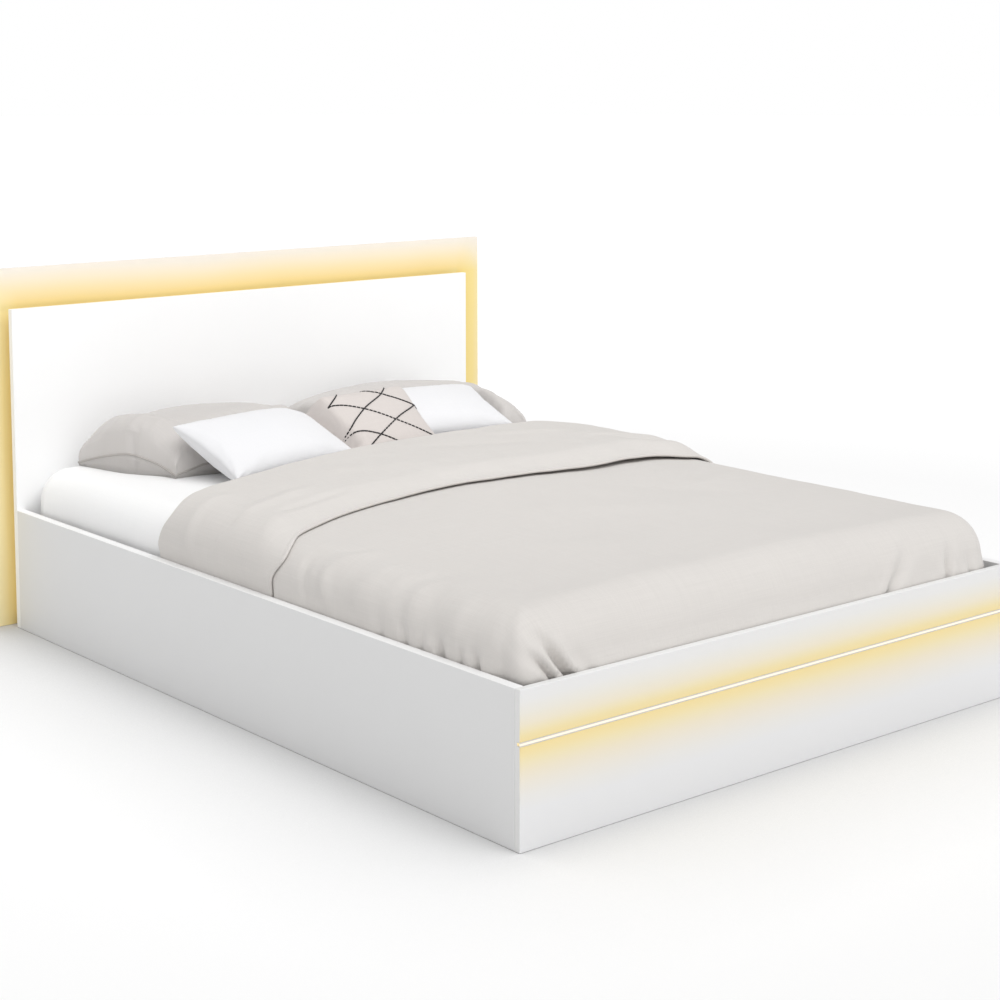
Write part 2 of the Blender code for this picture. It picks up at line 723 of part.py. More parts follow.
def top_fillet_rings(offset, low):
    """Rings from a height up the side and over the mattress's top edge."""
    radius = MATTRESS_TOP_RADIUS + offset
    top = MATTRESS_THICKNESS + offset
    rings = [mattress_ring(offset, 0.0, low)]
    for step in range(FILLET_STEPS + 1):
        angle = step / FILLET_STEPS * math.pi / 2
        inset = radius * (1 - math.cos(angle))
        rings.append(mattress_ring(offset, inset, top - radius * (1 - math.sin(angle))))
    return rings


def build_mattress(group):
    rings = []
    for step in range(BOTTOM_FILLET_STEPS):
        angle = step / BOTTOM_FILLET_STEPS * math.pi / 2
        inset = MATTRESS_BOTTOM_RADIUS * (1 - math.sin(angle))
        rings.append(mattress_ring(0.0, inset, MATTRESS_BOTTOM_RADIUS * (1 - math.cos(angle))))
    rings += top_fillet_rings(0.0, MATTRESS_BOTTOM_RADIUS)
    place = (0.0, MATTRESS_CENTRE_Y, MATTRESS_BASE_Z)
    make_object("mattress", stacked_mesh("mattress", rings), "mattress_ticking", group, place)
    inner = top_fillet_rings(JOINT_GAP, SHEET_SKIRT_RISE)
    outer = top_fillet_rings(JOINT_GAP + SHEET_THICKNESS, SHEET_SKIRT_RISE)
    mesh = stacked_mesh("fitted_sheet", inner[::-1] + outer)
    make_object("fitted_sheet", mesh, "white_cotton", group, place)


# Duvet. A point of the cloth is (across, along), measured flat from the middle of the sheet.
# The cloth lies flat on the core, a rectangle set in from the mattress's sides and foot by
# the shoulder radius, and bends down all round it.
SHOULDER_RADIUS = MATTRESS_TOP_RADIUS + JOINT_GAP + SHEET_THICKNESS
SHOULDER_ARC = SHOULDER_RADIUS * math.pi / 2
CORE_HALF_X = MATTRESS_WIDTH / 2 + DUVET_SIDE_CLEARANCE - MATTRESS_TOP_RADIUS
CORE_FOOT_Y = MATTRESS_CENTRE_Y - MATTRESS_LENGTH / 2 - DUVET_SIDE_CLEARANCE + MATTRESS_TOP_RADIUS
DUVET_BASE_Z = SHEET_TOP_Z + JOINT_GAP
DUVET_HEAD_Y = HEAD_FACE_Y - DUVET_TO_HEADBOARD
DUVET_SIDE_DROP = DUVET_BASE_Z - SHOULDER_RADIUS - (RAIL_HEIGHT - DUVET_TUCK_DEPTH)
DUVET_HANG = SHOULDER_ARC + DUVET_SIDE_DROP
DUVET_HALF_X = CORE_HALF_X + DUVET_HANG
DUVET_RAIL_HANG = SHOULDER_ARC + DUVET_BASE_Z - SHOULDER_RADIUS - RAIL_HEIGHT


def hang_of(across, along):
    """How far a point of the cloth lies out past the core, and in which direction."""
    out = Vector((across - min(max(across, -CORE_HALF_X), CORE_HALF_X), min(along - CORE_FOOT_Y, 0.0)))
    hang = out.length
    if hang > 0.0:
        out /= hang
    if hang > DUVET_HANG:
        spare = DUVET_CORNER_LIMIT
        hang = DUVET_HANG + spare * (1 - math.exp((DUVET_HANG - hang) / spare))
    return hang, out


def duvet_base(across, along):
    """Where a point of the cloth's underside lies, and its outward normal."""
    hang, out = hang_of(across, along)
    core = Vector((min(max(across, -CORE_HALF_X), CORE_HALF_X), max(along, CORE_FOOT_Y)))
    angle = min(hang / SHOULDER_RADIUS, math.pi / 2)
    reach = SHOULDER_RADIUS * math.sin(angle)
    drop = SHOULDER_RADIUS * (1 - math.cos(angle)) + max(hang - SHOULDER_ARC, 0.0)
    place = Vector((core.x + out.x * reach, core.y + out.y * reach, DUVET_BASE_Z - drop))
    normal = Vector((out.x * math.sin(angle), out.y * math.sin(angle), math.cos(angle)))
    return place, normal


def edge_share(across, column):
    """A column of the table of edge shares, read at a place across the duvet."""
    place = across / DUVET_HALF_X
    for left, right in zip(DUVET_EDGE_SHARES, DUVET_EDGE_SHARES[1:]):
        if place <= right[0]:
            share = smooth_share((place - left[0]) / (right[0] - left[0]))
            return left[column] + (right[column] - left[column]) * share
    return DUVET_EDGE_SHARES[-1][column]


def duvet_head(across):
    return DUVET_HEAD_Y - DUVET_HEAD_SWEEP * edge_share(across, 1)


def duvet_flap(across):
    return DUVET_HEAD_Y - DUVET_FLAP_WIDTH - DUVET_FLAP_SWEEP * edge_share(across, 2)


def duvet_thickness(across, along, folded):
    """Loft on top, thinner over the shoulder, pressed flat where it is tucked in."""
    hang = hang_of(across, along)[0]
    shoulder = smooth_share(hang / SHOULDER_ARC)
    loft = DUVET_LOFT + DUVET_CROWN * (1 - (across / CORE_HALF_X) ** 2) * (1 - shoulder)
    thickness = loft + (DUVET_TUCK_THICKNESS - loft) * shoulder
    if folded:
        thickness += DUVET_FLAP_LOFT * (1 - smooth_share(hang / DUVET_RAIL_HANG))
    if across and along < CORE_FOOT_Y and abs(across) > CORE_HALF_X:
        fan = math.atan2(CORE_FOOT_Y - along, abs(across) - CORE_HALF_X)
        pleat = math.sin(DUVET_CORNER_FOLDS * 2 * fan) ** 2 * (1 - smooth_share(hang / DUVET_RAIL_HANG))
        thickness += DUVET_CORNER_FOLD * pleat
    return thickness


def stations():
    """Places across the duvet, close together over the shoulders."""
    half = []
    for step in range(DUVET_SIDE_STEPS):
        half.append(DUVET_HALF_X - DUVET_SIDE_DROP * step / DUVET_SIDE_STEPS)
    for step in range(DUVET_SHOULDER_STEPS):
        half.append(CORE_HALF_X + SHOULDER_ARC * (1 - step / DUVET_SHOULDER_STEPS))
    middle = []
    for step in range(DUVET_ACROSS_STEPS + 1):
        middle.append(CORE_HALF_X * (2 * step / DUVET_ACROSS_STEPS - 1))
    return [-place for place in half] + middle + half[::-1]


def duvet_rows(across):
    """Places along the duvet from foot to head, and whether the flap lies over each."""
    rows = []
    for step in range(DUVET_SIDE_STEPS):
        rows.append((CORE_FOOT_Y - DUVET_HANG + DUVET_SIDE_DROP * step / DUVET_SIDE_STEPS, False))
    for step in range(DUVET_SHOULDER_STEPS):
        rows.append((CORE_FOOT_Y - SHOULDER_ARC * (1 - step / DUVET_SHOULDER_STEPS), False))
    flap, head = duvet_flap(across), duvet_head(across)
    for step in range(DUVET_LENGTH_STEPS + 1):
        rows.append((CORE_FOOT_Y + (flap - CORE_FOOT_Y) * step / DUVET_LENGTH_STEPS, False))
    for step in range(DUVET_FLAP_STEPS + 1):
        start = flap + DUVET_FLAP_STEP
        rows.append((start + (head - start) * step / DUVET_FLAP_STEPS, True))
    return rows


def duvet_section(across):
    """One slice of the duvet: its upper points, the roll at the head, and its lower points."""
    upper, lower = [], []
    for along, folded in duvet_rows(across):
        place, normal = duvet_base(across, along)
        lower.append(place)
        upper.append(place + normal * duvet_thickness(across, along, folded))
    radius = (upper[-1] - lower[-1]).length / 2
    centre = (upper[-1] + lower[-1]) / 2
    outward = (upper[-1] - centre).normalized()
    roll = []
    for step in range(1, DUVET_ROLL_STEPS):
        angle = math.pi * step / DUVET_ROLL_STEPS
        forward = Vector((0.0, radius * math.sin(angle), 0.0))
        roll.append(centre + outward * radius * math.cos(angle) + forward)
    return upper, roll, lower


def build_duvet(group):
    """The slices joined into one closed skin, with a cap at each side edge."""
    sections = [duvet_section(across) for across in stations()]
    rows = len(sections[0][0])
    points = []
    for upper, roll, lower in sections:
        points += upper + roll + lower[::-1]
    loop = 2 * rows + DUVET_ROLL_STEPS - 1
    faces = []
    for index in range(len(sections) - 1):
        here, there = index * loop, (index + 1) * loop
        for step in range(loop):
            after = (step + 1) % loop
            faces.append([here + step, here + after, there + after, there + step])
    for start in (0, (len(sections) - 1) * loop):
        for step in range(rows - 1):
            lower = loop - 1 - step
            faces.append([start + step, start + step + 1, start + lower - 1, start + lower])
        faces.append([start + step for step in range(rows - 1, rows + DUVET_ROLL_STEPS)])
    make_object("duvet", mesh_from("duvet", points, faces), "greige_cotton", group)


# Pillows and cushions: two crowned faces that meet in a seam drawn in between the corners
def stuffed_points(width, depth, loft, draw, fullness, steps):
    """A grid of seam-to-seam places, each with the half thickness there."""
    grid = []
    for row in range(steps + 1):
        line = []
        for column in range(steps + 1):
            u = math.sin((2 * column / steps - 1) * math.pi / 2)
            v = math.sin((2 * row / steps - 1) * math.pi / 2)
            x = width / 2 * u * (1 - draw * (1 - v * v))
            y = depth / 2 * v * (1 - draw * (1 - u * u))
            swell = max((1 - u * u) * (1 - v * v), 0.0) ** fullness
            line.append((x, y, loft / 2 * swell, u, v))
        grid.append(line)
    return grid


def stuffed_mesh(name, grid, top_of, bottom_of):
    steps = len(grid) - 1
    points, upper, lower = [], {}, {}
    for row in range(steps + 1):
        for column in range(steps + 1):
            x, y, half, u, v = grid[row][column]
            upper[row, column] = len(points)
            points.append((x, y, top_of(half, u, v)))
            if row in (0, steps) or column in (0, steps):
                lower[row, column] = upper[row, column]
                continue
            lower[row, column] = len(points)
            points.append((x, y, bottom_of(half, u, v)))
    faces = []
    for row in range(steps):
        for column in range(steps):
            corners = ((row, column), (row, column + 1), (row + 1, column + 1), (row + 1, column))
            faces.append([upper[corner] for corner in corners])
            faces.append([lower[corner] for corner in corners][::-1])
    return mesh_from(name, points, faces)


def build_pillows(group, cushions):
    """Each pillow lies flat on the sheet; its seam droops to the sheet at the corners."""
    share = PILLOW_SEAM_LIFT / PILLOW_LOFT

    def seam(u, v):
        droop = (abs(u) * abs(v)) ** SEAM_DROOP_POWER
        return PILLOW_SEAM_LIFT - (PILLOW_SEAM_LIFT - PILLOW_CORNER_LIFT) * droop

    def top_of(half, u, v):
        return seam(u, v) + 2 * half * (1 - share)

    def bottom_of(half, u, v):
        return max(seam(u, v) - 2 * half, JOINT_GAP)

    size = (PILLOW_WIDTH, PILLOW_DEPTH, PILLOW_LOFT, PILLOW_DRAW, PILLOW_FULLNESS_SHARE)
    grid = stuffed_points(*size, STUFFED_STEPS)
    for side, name in ((-1, "left"), (1, "right")):
        mesh = stuffed_mesh("pillow_" + name, grid, top_of, bottom_of)
        place = Vector((side * PILLOW_OFFSET_X, HEAD_FACE_Y - PILLOW_TO_HEADBOARD, SHEET_TOP_Z))
        turn = Matrix.Rotation(-side * PILLOW_TURN, 4, "Z")
        for cushion in cushions:
            press_down(mesh, Matrix.Translation(place) @ turn, cushion)
        make_object("pillow_" + name, mesh, "greige_cotton", group, place, turn.to_euler())


def press_down(mesh, placing, cushion):
    """Lower the parts of a pillow that a cushion lies on to just below the cushion."""
    matrix = cushion.matrix_world
    corners = [matrix @ vertex.co for vertex in cushion.data.vertices]
    tree = BVHTree.FromPolygons(corners, [face.vertices[:] for face in cushion.data.polygons])
    up = Vector((0.0, 0.0, 1.0))
    for vertex in mesh.vertices:
        if vertex.co.z <= PILLOW_PRESSED_LOFT:
            continue
        point = placing @ vertex.co
        for step in range(2 * PRESS_STEPS):
            angle = 2 * math.pi * step / PRESS_STEPS
            reach = PRESS_REACH if step < PRESS_STEPS else PRESS_REACH / 2
            probe = (point.x + reach * math.cos(angle), point.y + reach * math.sin(angle), 0.0)
            underside = tree.ray_cast(Vector(probe), up)[0]
            if underside is not None:
                pressed = underside.z - SOFT_GAP - SHEET_TOP_Z
                vertex.co.z = min(vertex.co.z, max(pressed, PILLOW_PRESSED_LOFT))


def build_cushion(name, size, finish, group, place, turn, lean, rest):
    """A cushion that leans back. Its underside is pressed flat at its rest above the sheet."""
    tilt = Matrix.Rotation(turn, 4, "Z") @ Matrix.Rotation(lean, 4, "X")
    mesh = stuffed_mesh(
        name, stuffed_points(*size, STUFFED_STEPS),
        lambda half, u, v: half * CUSHION_TOP_SHARE, lambda half, u, v: -half * CUSHION_UNDER_SHARE,
    )
    floor = SHEET_TOP_Z + rest - place[2]
    mesh.transform(tilt)
    for vertex in mesh.vertices:
        vertex.co.z = max(vertex.co.z, floor)
    mesh.transform(tilt.inverted())
    return make_object(name, mesh, finish, group, place, tilt.to_euler())


def press_on(obj, others, group):
    """Press the shapes that lie against an object into it, with a small gap all over."""
    for other in others:
        mesh = other.data.copy()
        normals = [vertex.normal.copy() for vertex in mesh.vertices]
        for vertex, normal in zip(mesh.vertices, normals):
            vertex.co = vertex.co * SOFT_GROWTH_SHARE + normal * SOFT_GAP
        cut(obj, mesh, group, other.location + group.location, other.rotation_euler)


def build_bedding():
    group = make_group("bedding", (0.0, 0.0, SHEET_TOP_Z))
    build_mattress(group)
    build_duvet(group)
    plain = (CUSHION_WIDTH, CUSHION_DEPTH, CUSHION_LOFT, CUSHION_DRAW, CUSHION_FULLNESS_SHARE)
    patterned = (
        PATTERNED_WIDTH, PATTERNED_DEPTH, PATTERNED_LOFT, PATTERNED_DRAW, CUSHION_FULLNESS_SHARE,
    )
    left = build_cushion(
        "cushion_left", plain, "white_cotton", group,
        (LEFT_CUSHION_X, HEAD_FACE_Y - LEFT_CUSHION_TO_HEADBOARD, SHEET_TOP_Z + LEFT_CUSHION_RISE),
        LEFT_CUSHION_TURN, LEFT_CUSHION_LEAN, JOINT_GAP,
    )
    right = build_cushion(
        "cushion_right", plain, "white_cotton", group,
        (RIGHT_CUSHION_X, HEAD_FACE_Y - RIGHT_CUSHION_TO_HEADBOARD, SHEET_TOP_Z + RIGHT_CUSHION_RISE),
        RIGHT_CUSHION_TURN, RIGHT_CUSHION_LEAN, PILLOW_PRESSED_LOFT + JOINT_GAP,
    )
    middle = build_cushion(
        "cushion_patterned", patterned, "stitched_cotton", group,
        (PATTERNED_CUSHION_X, HEAD_FACE_Y - PATTERNED_CUSHION_TO_HEADBOARD,
         SHEET_TOP_Z + PATTERNED_CUSHION_RISE),
        PATTERNED_CUSHION_TURN, PATTERNED_CUSHION_LEAN, JOINT_GAP,
    )
    bpy.context.view_layer.update()
    build_pillows(group, (left, right, middle))
    press_on(middle, (left, right), group)


def build_bed():
    clear_scene()
    front = build_headboard()
    sides, footboard, frame = build_frame()
    build_brackets(sides, footboard, front, frame)
    build_base()
    build_bedding()


build_bed()
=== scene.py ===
"""The looks of a double bed with lit panels, a slatted base and its bedding.

Everything is in metres, in the frame of the CAD part: the foot of the bed is towards -Y and the
headboard towards +Y.
"""

import math

import bmesh
import bpy
import numpy as np
from mathutils import Matrix, Vector
from mathutils.bvhtree import BVHTree


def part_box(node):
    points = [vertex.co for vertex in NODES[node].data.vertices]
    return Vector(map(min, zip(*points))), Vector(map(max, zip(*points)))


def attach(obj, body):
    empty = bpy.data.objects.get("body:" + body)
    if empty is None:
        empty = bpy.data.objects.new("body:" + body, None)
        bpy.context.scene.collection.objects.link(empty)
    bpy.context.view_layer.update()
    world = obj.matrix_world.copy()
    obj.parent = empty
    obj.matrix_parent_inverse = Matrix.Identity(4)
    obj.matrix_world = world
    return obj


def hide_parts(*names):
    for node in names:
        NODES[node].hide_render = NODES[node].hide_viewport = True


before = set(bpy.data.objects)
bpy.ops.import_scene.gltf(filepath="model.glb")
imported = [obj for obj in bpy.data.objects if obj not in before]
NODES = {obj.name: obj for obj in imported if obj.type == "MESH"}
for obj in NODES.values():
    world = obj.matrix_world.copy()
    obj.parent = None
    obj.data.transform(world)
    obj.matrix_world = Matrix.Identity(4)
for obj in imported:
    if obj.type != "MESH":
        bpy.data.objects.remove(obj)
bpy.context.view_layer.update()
SCENE = bpy.context.scene
WHITE = (1.0, 1.0, 1.0, 1.0)

# Camera, fitted to the straight edges of the photograph, with its angles in degrees
CAMERA_PLACE = (-3.0209, -3.6773, 1.4060)
CAMERA_DOWN, CAMERA_TURN = 6.731, -40.042
CAMERA_LENS = 72.83
CAMERA_SHIFT = -0.19

# Lights
WORLD_FILL = 0.53
SUN_STRENGTH, SUN_WIDTH = 1.75, 60
SUN_TOWARDS = (-0.15, -0.66, 1.00)
FRONT_POWER = 7.5
FRONT_SIZE = (1.8, 1.0)
FRONT_PLACE = Vector((0.0, -0.6, 2.1))
FRONT_AIM = Vector((0.0, 0.94, 0.62))

# Floor: how its tone follows a painted contact shadow, and how the far floor turns white
FLOOR_RADIUS, FLOOR_DROP = 60.0, 0.0005
CONTACT_REACH, CONTACT_SAMPLES = 0.55, 8
OPEN_LOW, OPEN_HIGH = 0.35, 0.98
TONE_LOW, TONE_HIGH = 0.52, 0.93
WHITEN_START, WHITEN_END = 2.6, 7.0
WHITEN_LOW, WHITEN_HIGH = 0.02, 0.35


def add_object(name, data):
    obj = bpy.data.objects.new(name, data)
    SCENE.collection.objects.link(obj)
    return obj


def facing(direction):
    return Vector(direction).to_track_quat("Z", "Y").to_euler()


def new_node(tree, kind, inputs=None, **settings):
    node = tree.nodes.new("ShaderNode" + kind)
    for key, value in settings.items():
        setattr(node, key, value)
    for key, value in (inputs or {}).items():
        if isinstance(value, bpy.types.NodeSocket):
            tree.links.new(value, node.inputs[key])
        else:
            node.inputs[key].default_value = value
    return node


def tone(red, green, blue):
    """A colour written as a screen shows it, 0 to 255."""
    shown = [value / 255 for value in (red, green, blue)]
    return (*(v / 12.92 if v <= 0.04045 else ((v + 0.055) / 1.055) ** 2.4 for v in shown), 1.0)


def make_camera():
    camera = add_object("camera", bpy.data.cameras.new("camera"))
    camera.location = CAMERA_PLACE
    camera.rotation_euler = (math.radians(90 - CAMERA_DOWN), 0.0, math.radians(CAMERA_TURN))
    camera.data.sensor_width = 36.0
    camera.data.lens = CAMERA_LENS
    camera.data.shift_y = CAMERA_SHIFT
    camera.data.clip_end = 200.0
    SCENE.camera = camera


def make_world():
    world = bpy.data.worlds.new("studio")
    SCENE.world = world
    world.use_nodes = True
    tree = world.node_tree
    tree.nodes.clear()
    rays = new_node(tree, "LightPath").outputs
    direct = {0: rays["Is Camera Ray"], 1: rays["Is Transmission Ray"]}
    seen = new_node(tree, "Math", direct, operation="MAXIMUM")
    fill = new_node(tree, "Background", {"Color": WHITE, "Strength": WORLD_FILL})
    plain = new_node(tree, "Background", {"Color": WHITE, "Strength": 1.0})
    mix = new_node(tree, "MixShader", {0: seen.outputs[0], 1: fill.outputs[0], 2: plain.outputs[0]})
    new_node(tree, "OutputWorld", {"Surface": mix.outputs[0]})


def make_floor():
    body = bmesh.new()
    bmesh.ops.create_circle(body, cap_ends=True, segments=96, radius=FLOOR_RADIUS)
    mesh = bpy.data.meshes.new("floor")
    body.to_mesh(mesh)
    body.free()
    floor = add_object("floor", mesh)
    floor.location.z = -FLOOR_DROP
    material = bpy.data.materials.new("pale_floor")
    material.use_nodes = True
    tree = material.node_tree
    tree.nodes.clear()
    # Painted contact shadow: an ambient-occlusion node darkens the floor's colour near the bed
    contact = new_node(tree, "AmbientOcclusion", {"Distance": CONTACT_REACH}, samples=CONTACT_SAMPLES)
    span = {1: OPEN_LOW, 2: OPEN_HIGH, 3: TONE_LOW, 4: TONE_HIGH}
    shade = new_node(tree, "MapRange", {0: contact.outputs["AO"], **span})
    matte = new_node(tree, "BsdfDiffuse", {"Color": shade.outputs[0]})
    place = new_node(tree, "NewGeometry").outputs["Position"]
    away = new_node(tree, "VectorMath", {0: place}, operation="LENGTH")
    span = {1: WHITEN_START, 2: WHITEN_END, 3: WHITEN_LOW, 4: WHITEN_HIGH}
    whiten = new_node(tree, "MapRange", {0: away.outputs["Value"], **span})
    glow = new_node(tree, "Emission", {"Color": WHITE, "Strength": whiten.outputs[0]})
    both = new_node(tree, "AddShader", {0: matte.outputs[0], 1: glow.outputs[0]})
    new_node(tree, "OutputMaterial", {"Surface": both.outputs[0]})
    mesh.materials.append(material)


def make_lights():
    key = add_object("key", bpy.data.lights.new("key", "SUN"))
    key.data.energy = SUN_STRENGTH
    key.data.angle = math.radians(SUN_WIDTH)
    key.rotation_euler = facing(SUN_TOWARDS)
    front = add_object("front", bpy.data.lights.new("front", "AREA"))
    front.data.shape = "RECTANGLE"
    front.data.size, front.data.size_y = FRONT_SIZE
    front.data.energy = FRONT_POWER
    front.location = FRONT_PLACE
    front.rotation_euler = facing(FRONT_PLACE - FRONT_AIM)


# Materials
NOISE_LOW, NOISE_HIGH = 0.3, 0.7
PEEL_SCALE, PEEL_HEIGHT = 95.0, 0.00006
FINE_SCALE, FINE_HEIGHT = 420.0, 0.00002
TOP_HIGHLIGHT_DEPTH = 0.0012
FACE_DEPTH = 0.0016
STRIP_BASE = (0.35, 0.31, 0.25, 1.0)
STRIP_STRENGTH, STRIP_EDGE = 0.80, 0.42


class Look:
    """A material under construction: its tree, its shader and short ways to make nodes."""

    def __init__(self, name, roughness=0.5, metallic=0.0):
        self.material = bpy.data.materials.new(name)
        self.material.use_nodes = True
        self.tree = self.material.node_tree
        self.shader = self.tree.nodes["Principled BSDF"]
        self.put("Roughness", roughness)
        self.put("Metallic", metallic)
        self.place = self.node("TexCoord").outputs["Object"]

    def put(self, socket, value):
        if isinstance(value, bpy.types.NodeSocket):
            self.tree.links.new(value, self.shader.inputs[socket])
        else:
            self.shader.inputs[socket].default_value = value

    def node(self, kind, inputs=None, **settings):
        return new_node(self.tree, kind, inputs, **settings)

    def math(self, operation, first, second=0.0):
        return self.node("Math", {0: first, 1: second, 2: 0.0}, operation=operation).outputs[0]

    def plus(self, first, second):
        return self.math("ADD", first, second)

    def minus(self, first, second):
        return self.math("SUBTRACT", first, second)

    def times(self, first, second):
        return self.math("MULTIPLY", first, second)

    def parts(self, vector):
        node = self.node("SeparateXYZ", {0: vector})
        return node.outputs[0], node.outputs[1], node.outputs[2]

    def scaled(self, vector, scale, shift=(0.0, 0.0, 0.0)):
        return self.node("Mapping", {"Vector": vector, "Location": shift, "Scale": scale}).outputs[0]

    def noise(self, vector, scale, detail=2.0, roughness=0.5):
        inputs = {"Vector": vector, "Scale": scale, "Detail": detail, "Roughness": roughness}
        return self.node("TexNoise", inputs).outputs["Fac"]

    def voronoi(self, vector, scale, output):
        return self.node("TexVoronoi", {"Vector": vector, "Scale": scale}).outputs[output]

    def waves(self, value, per_metre):
        return self.math("SINE", self.times(value, 2 * math.pi * per_metre))

    def ramp(self, value, stops):
        node = self.node("ValToRGB", {"Fac": value})
        while len(node.color_ramp.elements) < len(stops):
            node.color_ramp.elements.new(1.0)
        for element, (position, colour) in zip(node.color_ramp.elements, stops):
            element.position = position
            element.color = tone(*colour)
        return node.outputs["Color"]

    def spread(self, value, low, high, to_low=0.0, to_high=1.0):
        inputs = {"Value": value, "From Min": low, "From Max": high, "To Min": to_low, "To Max": to_high}
        return self.node("MapRange", inputs).outputs[0]

    def vary(self, noise, low, high):
        """A range that follows a noise."""
        return self.spread(noise, NOISE_LOW, NOISE_HIGH, low, high)

    def mix(self, share, first, second, blend="MIX"):
        inputs = {0: share, 6: first, 7: second}
        return self.node("Mix", inputs, data_type="RGBA", blend_type=blend).outputs[2]

    def shade(self, colour, *factors):
        """A colour multiplied by grey factors."""
        product = factors[0]
        for factor in factors[1:]:
            product = self.times(product, factor)
        grey = self.node("CombineColor", {0: product, 1: product, 2: product}).outputs[0]
        return self.mix(1.0, colour, grey, "MULTIPLY")

    def bump(self, *layers):
        """Layers of (height, distance), each laid over the one before."""
        normal = None
        for height, distance in layers:
            inputs = {"Height": height, "Distance": distance, "Strength": 1.0}
            if normal is not None:
                inputs["Normal"] = normal
            normal = self.node("Bump", inputs).outputs[0]
        self.put("Normal", normal)

    def board_finish(self, smoothest, roughest, specular):
        """Melamine: a faint orange-peel and slight changes of gloss."""
        self.put("Roughness", self.vary(self.noise(self.place, 6.0, 4.0, 0.6), smoothest, roughest))
        self.put("Specular IOR Level", specular)
        peel = self.noise(self.place, PEEL_SCALE, 1.0)
        fine = self.noise(self.place, FINE_SCALE, 2.0)
        self.bump((peel, PEEL_HEIGHT), (fine, FINE_HEIGHT))


def laminate(name, colour, band=None, top=0.0):
    """A white laminated board. With a band colour, its top face and a strip just below its upper edge are
    painted in that paler tone, a painted highlight where the top catches the light.
    """
    look = Look(name)
    if band is not None:
        height = look.parts(look.place)[2]
        # Painted highlight: the board's top face and the strip below its edge take the paler band colour
        colour = look.mix(look.spread(height, top - TOP_HIGHLIGHT_DEPTH, top - TOP_HIGHLIGHT_DEPTH / 3), colour, band)
    look.put("Base Color", look.shade(colour, look.vary(look.noise(look.place, 2.2, 3.0), 0.988, 1.0)))
    look.board_finish(0.34, 0.46, 0.4)
    return look.material


# The lit boards' tones by share of the glow's reach, from the light outwards: a painted glow, on the back
# panel darker right beside the front panel as painted shade
GLOW_REACH = 0.125
UPPER_GLOW = (
    (0.00, (228, 208, 142)), (0.10, (239, 216, 152)), (0.30, (242, 222, 175)), (0.50, (242, 228, 200)),
    (0.70, (239, 231, 217)), (0.85, (238, 231, 222)), (1.00, (238, 232, 226)),
)
SIDE_GLOW = (
    (0.00, (229, 202, 124)), (0.25, (238, 214, 134)), (0.50, (240, 219, 146)), (0.68, (240, 223, 174)),
    (1.00, (238, 229, 208)),
)
# The back panel's left wing, painted paler still as painted light
LEFT_GLOW_REACH, LEFT_GLOW_SHARE = 0.070, 0.80
LEFT_GLOW_NEAR, LEFT_GLOW_FAR = (236, 219, 160), (255, 249, 222)
ABOVE_LINE_REACH, BELOW_LINE_REACH = 0.12, 0.14
ABOVE_LINE = (
    (0.00, (237, 215, 152)), (0.07, (237, 218, 162)), (0.14, (236, 220, 170)), (0.20, (235, 222, 182)),
    (0.32, (233, 224, 202)), (0.50, (230, 226, 216)), (0.68, (228, 227, 225)), (0.90, (227, 227, 228)),
)
BELOW_LINE = (
    (0.00, (239, 217, 154)), (0.08, (239, 219, 161)), (0.15, (238, 221, 170)), (0.24, (236, 223, 184)),
    (0.38, (234, 224, 201)), (0.54, (232, 226, 214)), (0.72, (230, 228, 224)), (0.92, (229, 229, 230)),
)


def front_face(look, y, node, start):
    """1 on a board's face towards the foot end, 0 behind it."""
    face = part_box(node)[0].y
    return look.spread(y, face + start, face + FACE_DEPTH, 1.0, 0.0)


def lit_back_panel():
    """The panel behind the headboard: the hidden strips' light painted into its colour as a glow that fades
    out to its edges.
    """
    look = Look("lit_back_panel")
    x, y, z = look.parts(look.place)
    low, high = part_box("headboard_front_panel")
    beside = look.math("MAXIMUM", look.minus(look.math("ABSOLUTE", x), high.x), 0.0)
    above = look.math("MAXIMUM", look.minus(z, high.z), 0.0)
    away = look.math("SQRT", look.plus(look.times(beside, beside), look.times(above, above)))
    broad = look.noise(look.scaled(look.place, (3.0, 3.0, 3.0)), 1.0, 1.0)
    far = look.plus(away, look.vary(broad, -0.004, 0.004))
    upper = look.ramp(look.spread(far, 0.0, GLOW_REACH), UPPER_GLOW)
    side = look.ramp(look.spread(far, 0.0, GLOW_REACH), SIDE_GLOW)
    share = look.math("DIVIDE", beside, look.plus(look.plus(beside, above), 0.001))
    colour = look.mix(look.math("POWER", share, 1.5), upper, side)
    # Painted light: the left wing beside the front panel is painted paler
    left = look.spread(x, low.x + 0.04, low.x - 0.01, 0.0, LEFT_GLOW_SHARE)
    left = look.times(left, look.spread(above, 0.0, 0.05, 1.0, 0.0))
    outer = look.spread(far, 0.0, LEFT_GLOW_REACH)
    colour = look.mix(left, colour, look.mix(outer, tone(*LEFT_GLOW_NEAR), tone(*LEFT_GLOW_FAR)))
    front = front_face(look, y, "headboard_back_panel", 0.0008)
    look.put("Base Color", look.mix(front, tone(238, 238, 238), colour))
    look.board_finish(0.40, 0.52, 0.35)
    return look.material


def lit_footboard():
    """The footboard: the light line's glow painted on its outer face, wider below the line than above, on a
    board painted darker than the headboard as painted shade.
    """
    look = Look("lit_footboard")
    x, y, z = look.parts(look.place)
    line_low, line_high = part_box("footboard_led_diffuser")
    middle = (line_low.z + line_high.z) / 2
    along = look.noise(look.scaled(look.place, (1.7, 0.0, 0.0)), 1.0, 2.0)
    off = look.times(look.minus(z, middle), look.vary(along, 0.94, 1.08))
    above = look.ramp(look.spread(off, 0.0, ABOVE_LINE_REACH), ABOVE_LINE)
    below = look.ramp(look.spread(off, 0.0, -BELOW_LINE_REACH), BELOW_LINE)
    glow = look.mix(look.math("GREATER_THAN", off, 0.0), below, above)
    # Painted glow on the outer face; the other faces keep the darker tone of painted shade
    look.put("Base Color", look.mix(front_face(look, y, "footboard", 0.0009), tone(228, 228, 227), glow))
    look.board_finish(0.40, 0.50, 0.35)
    return look.material


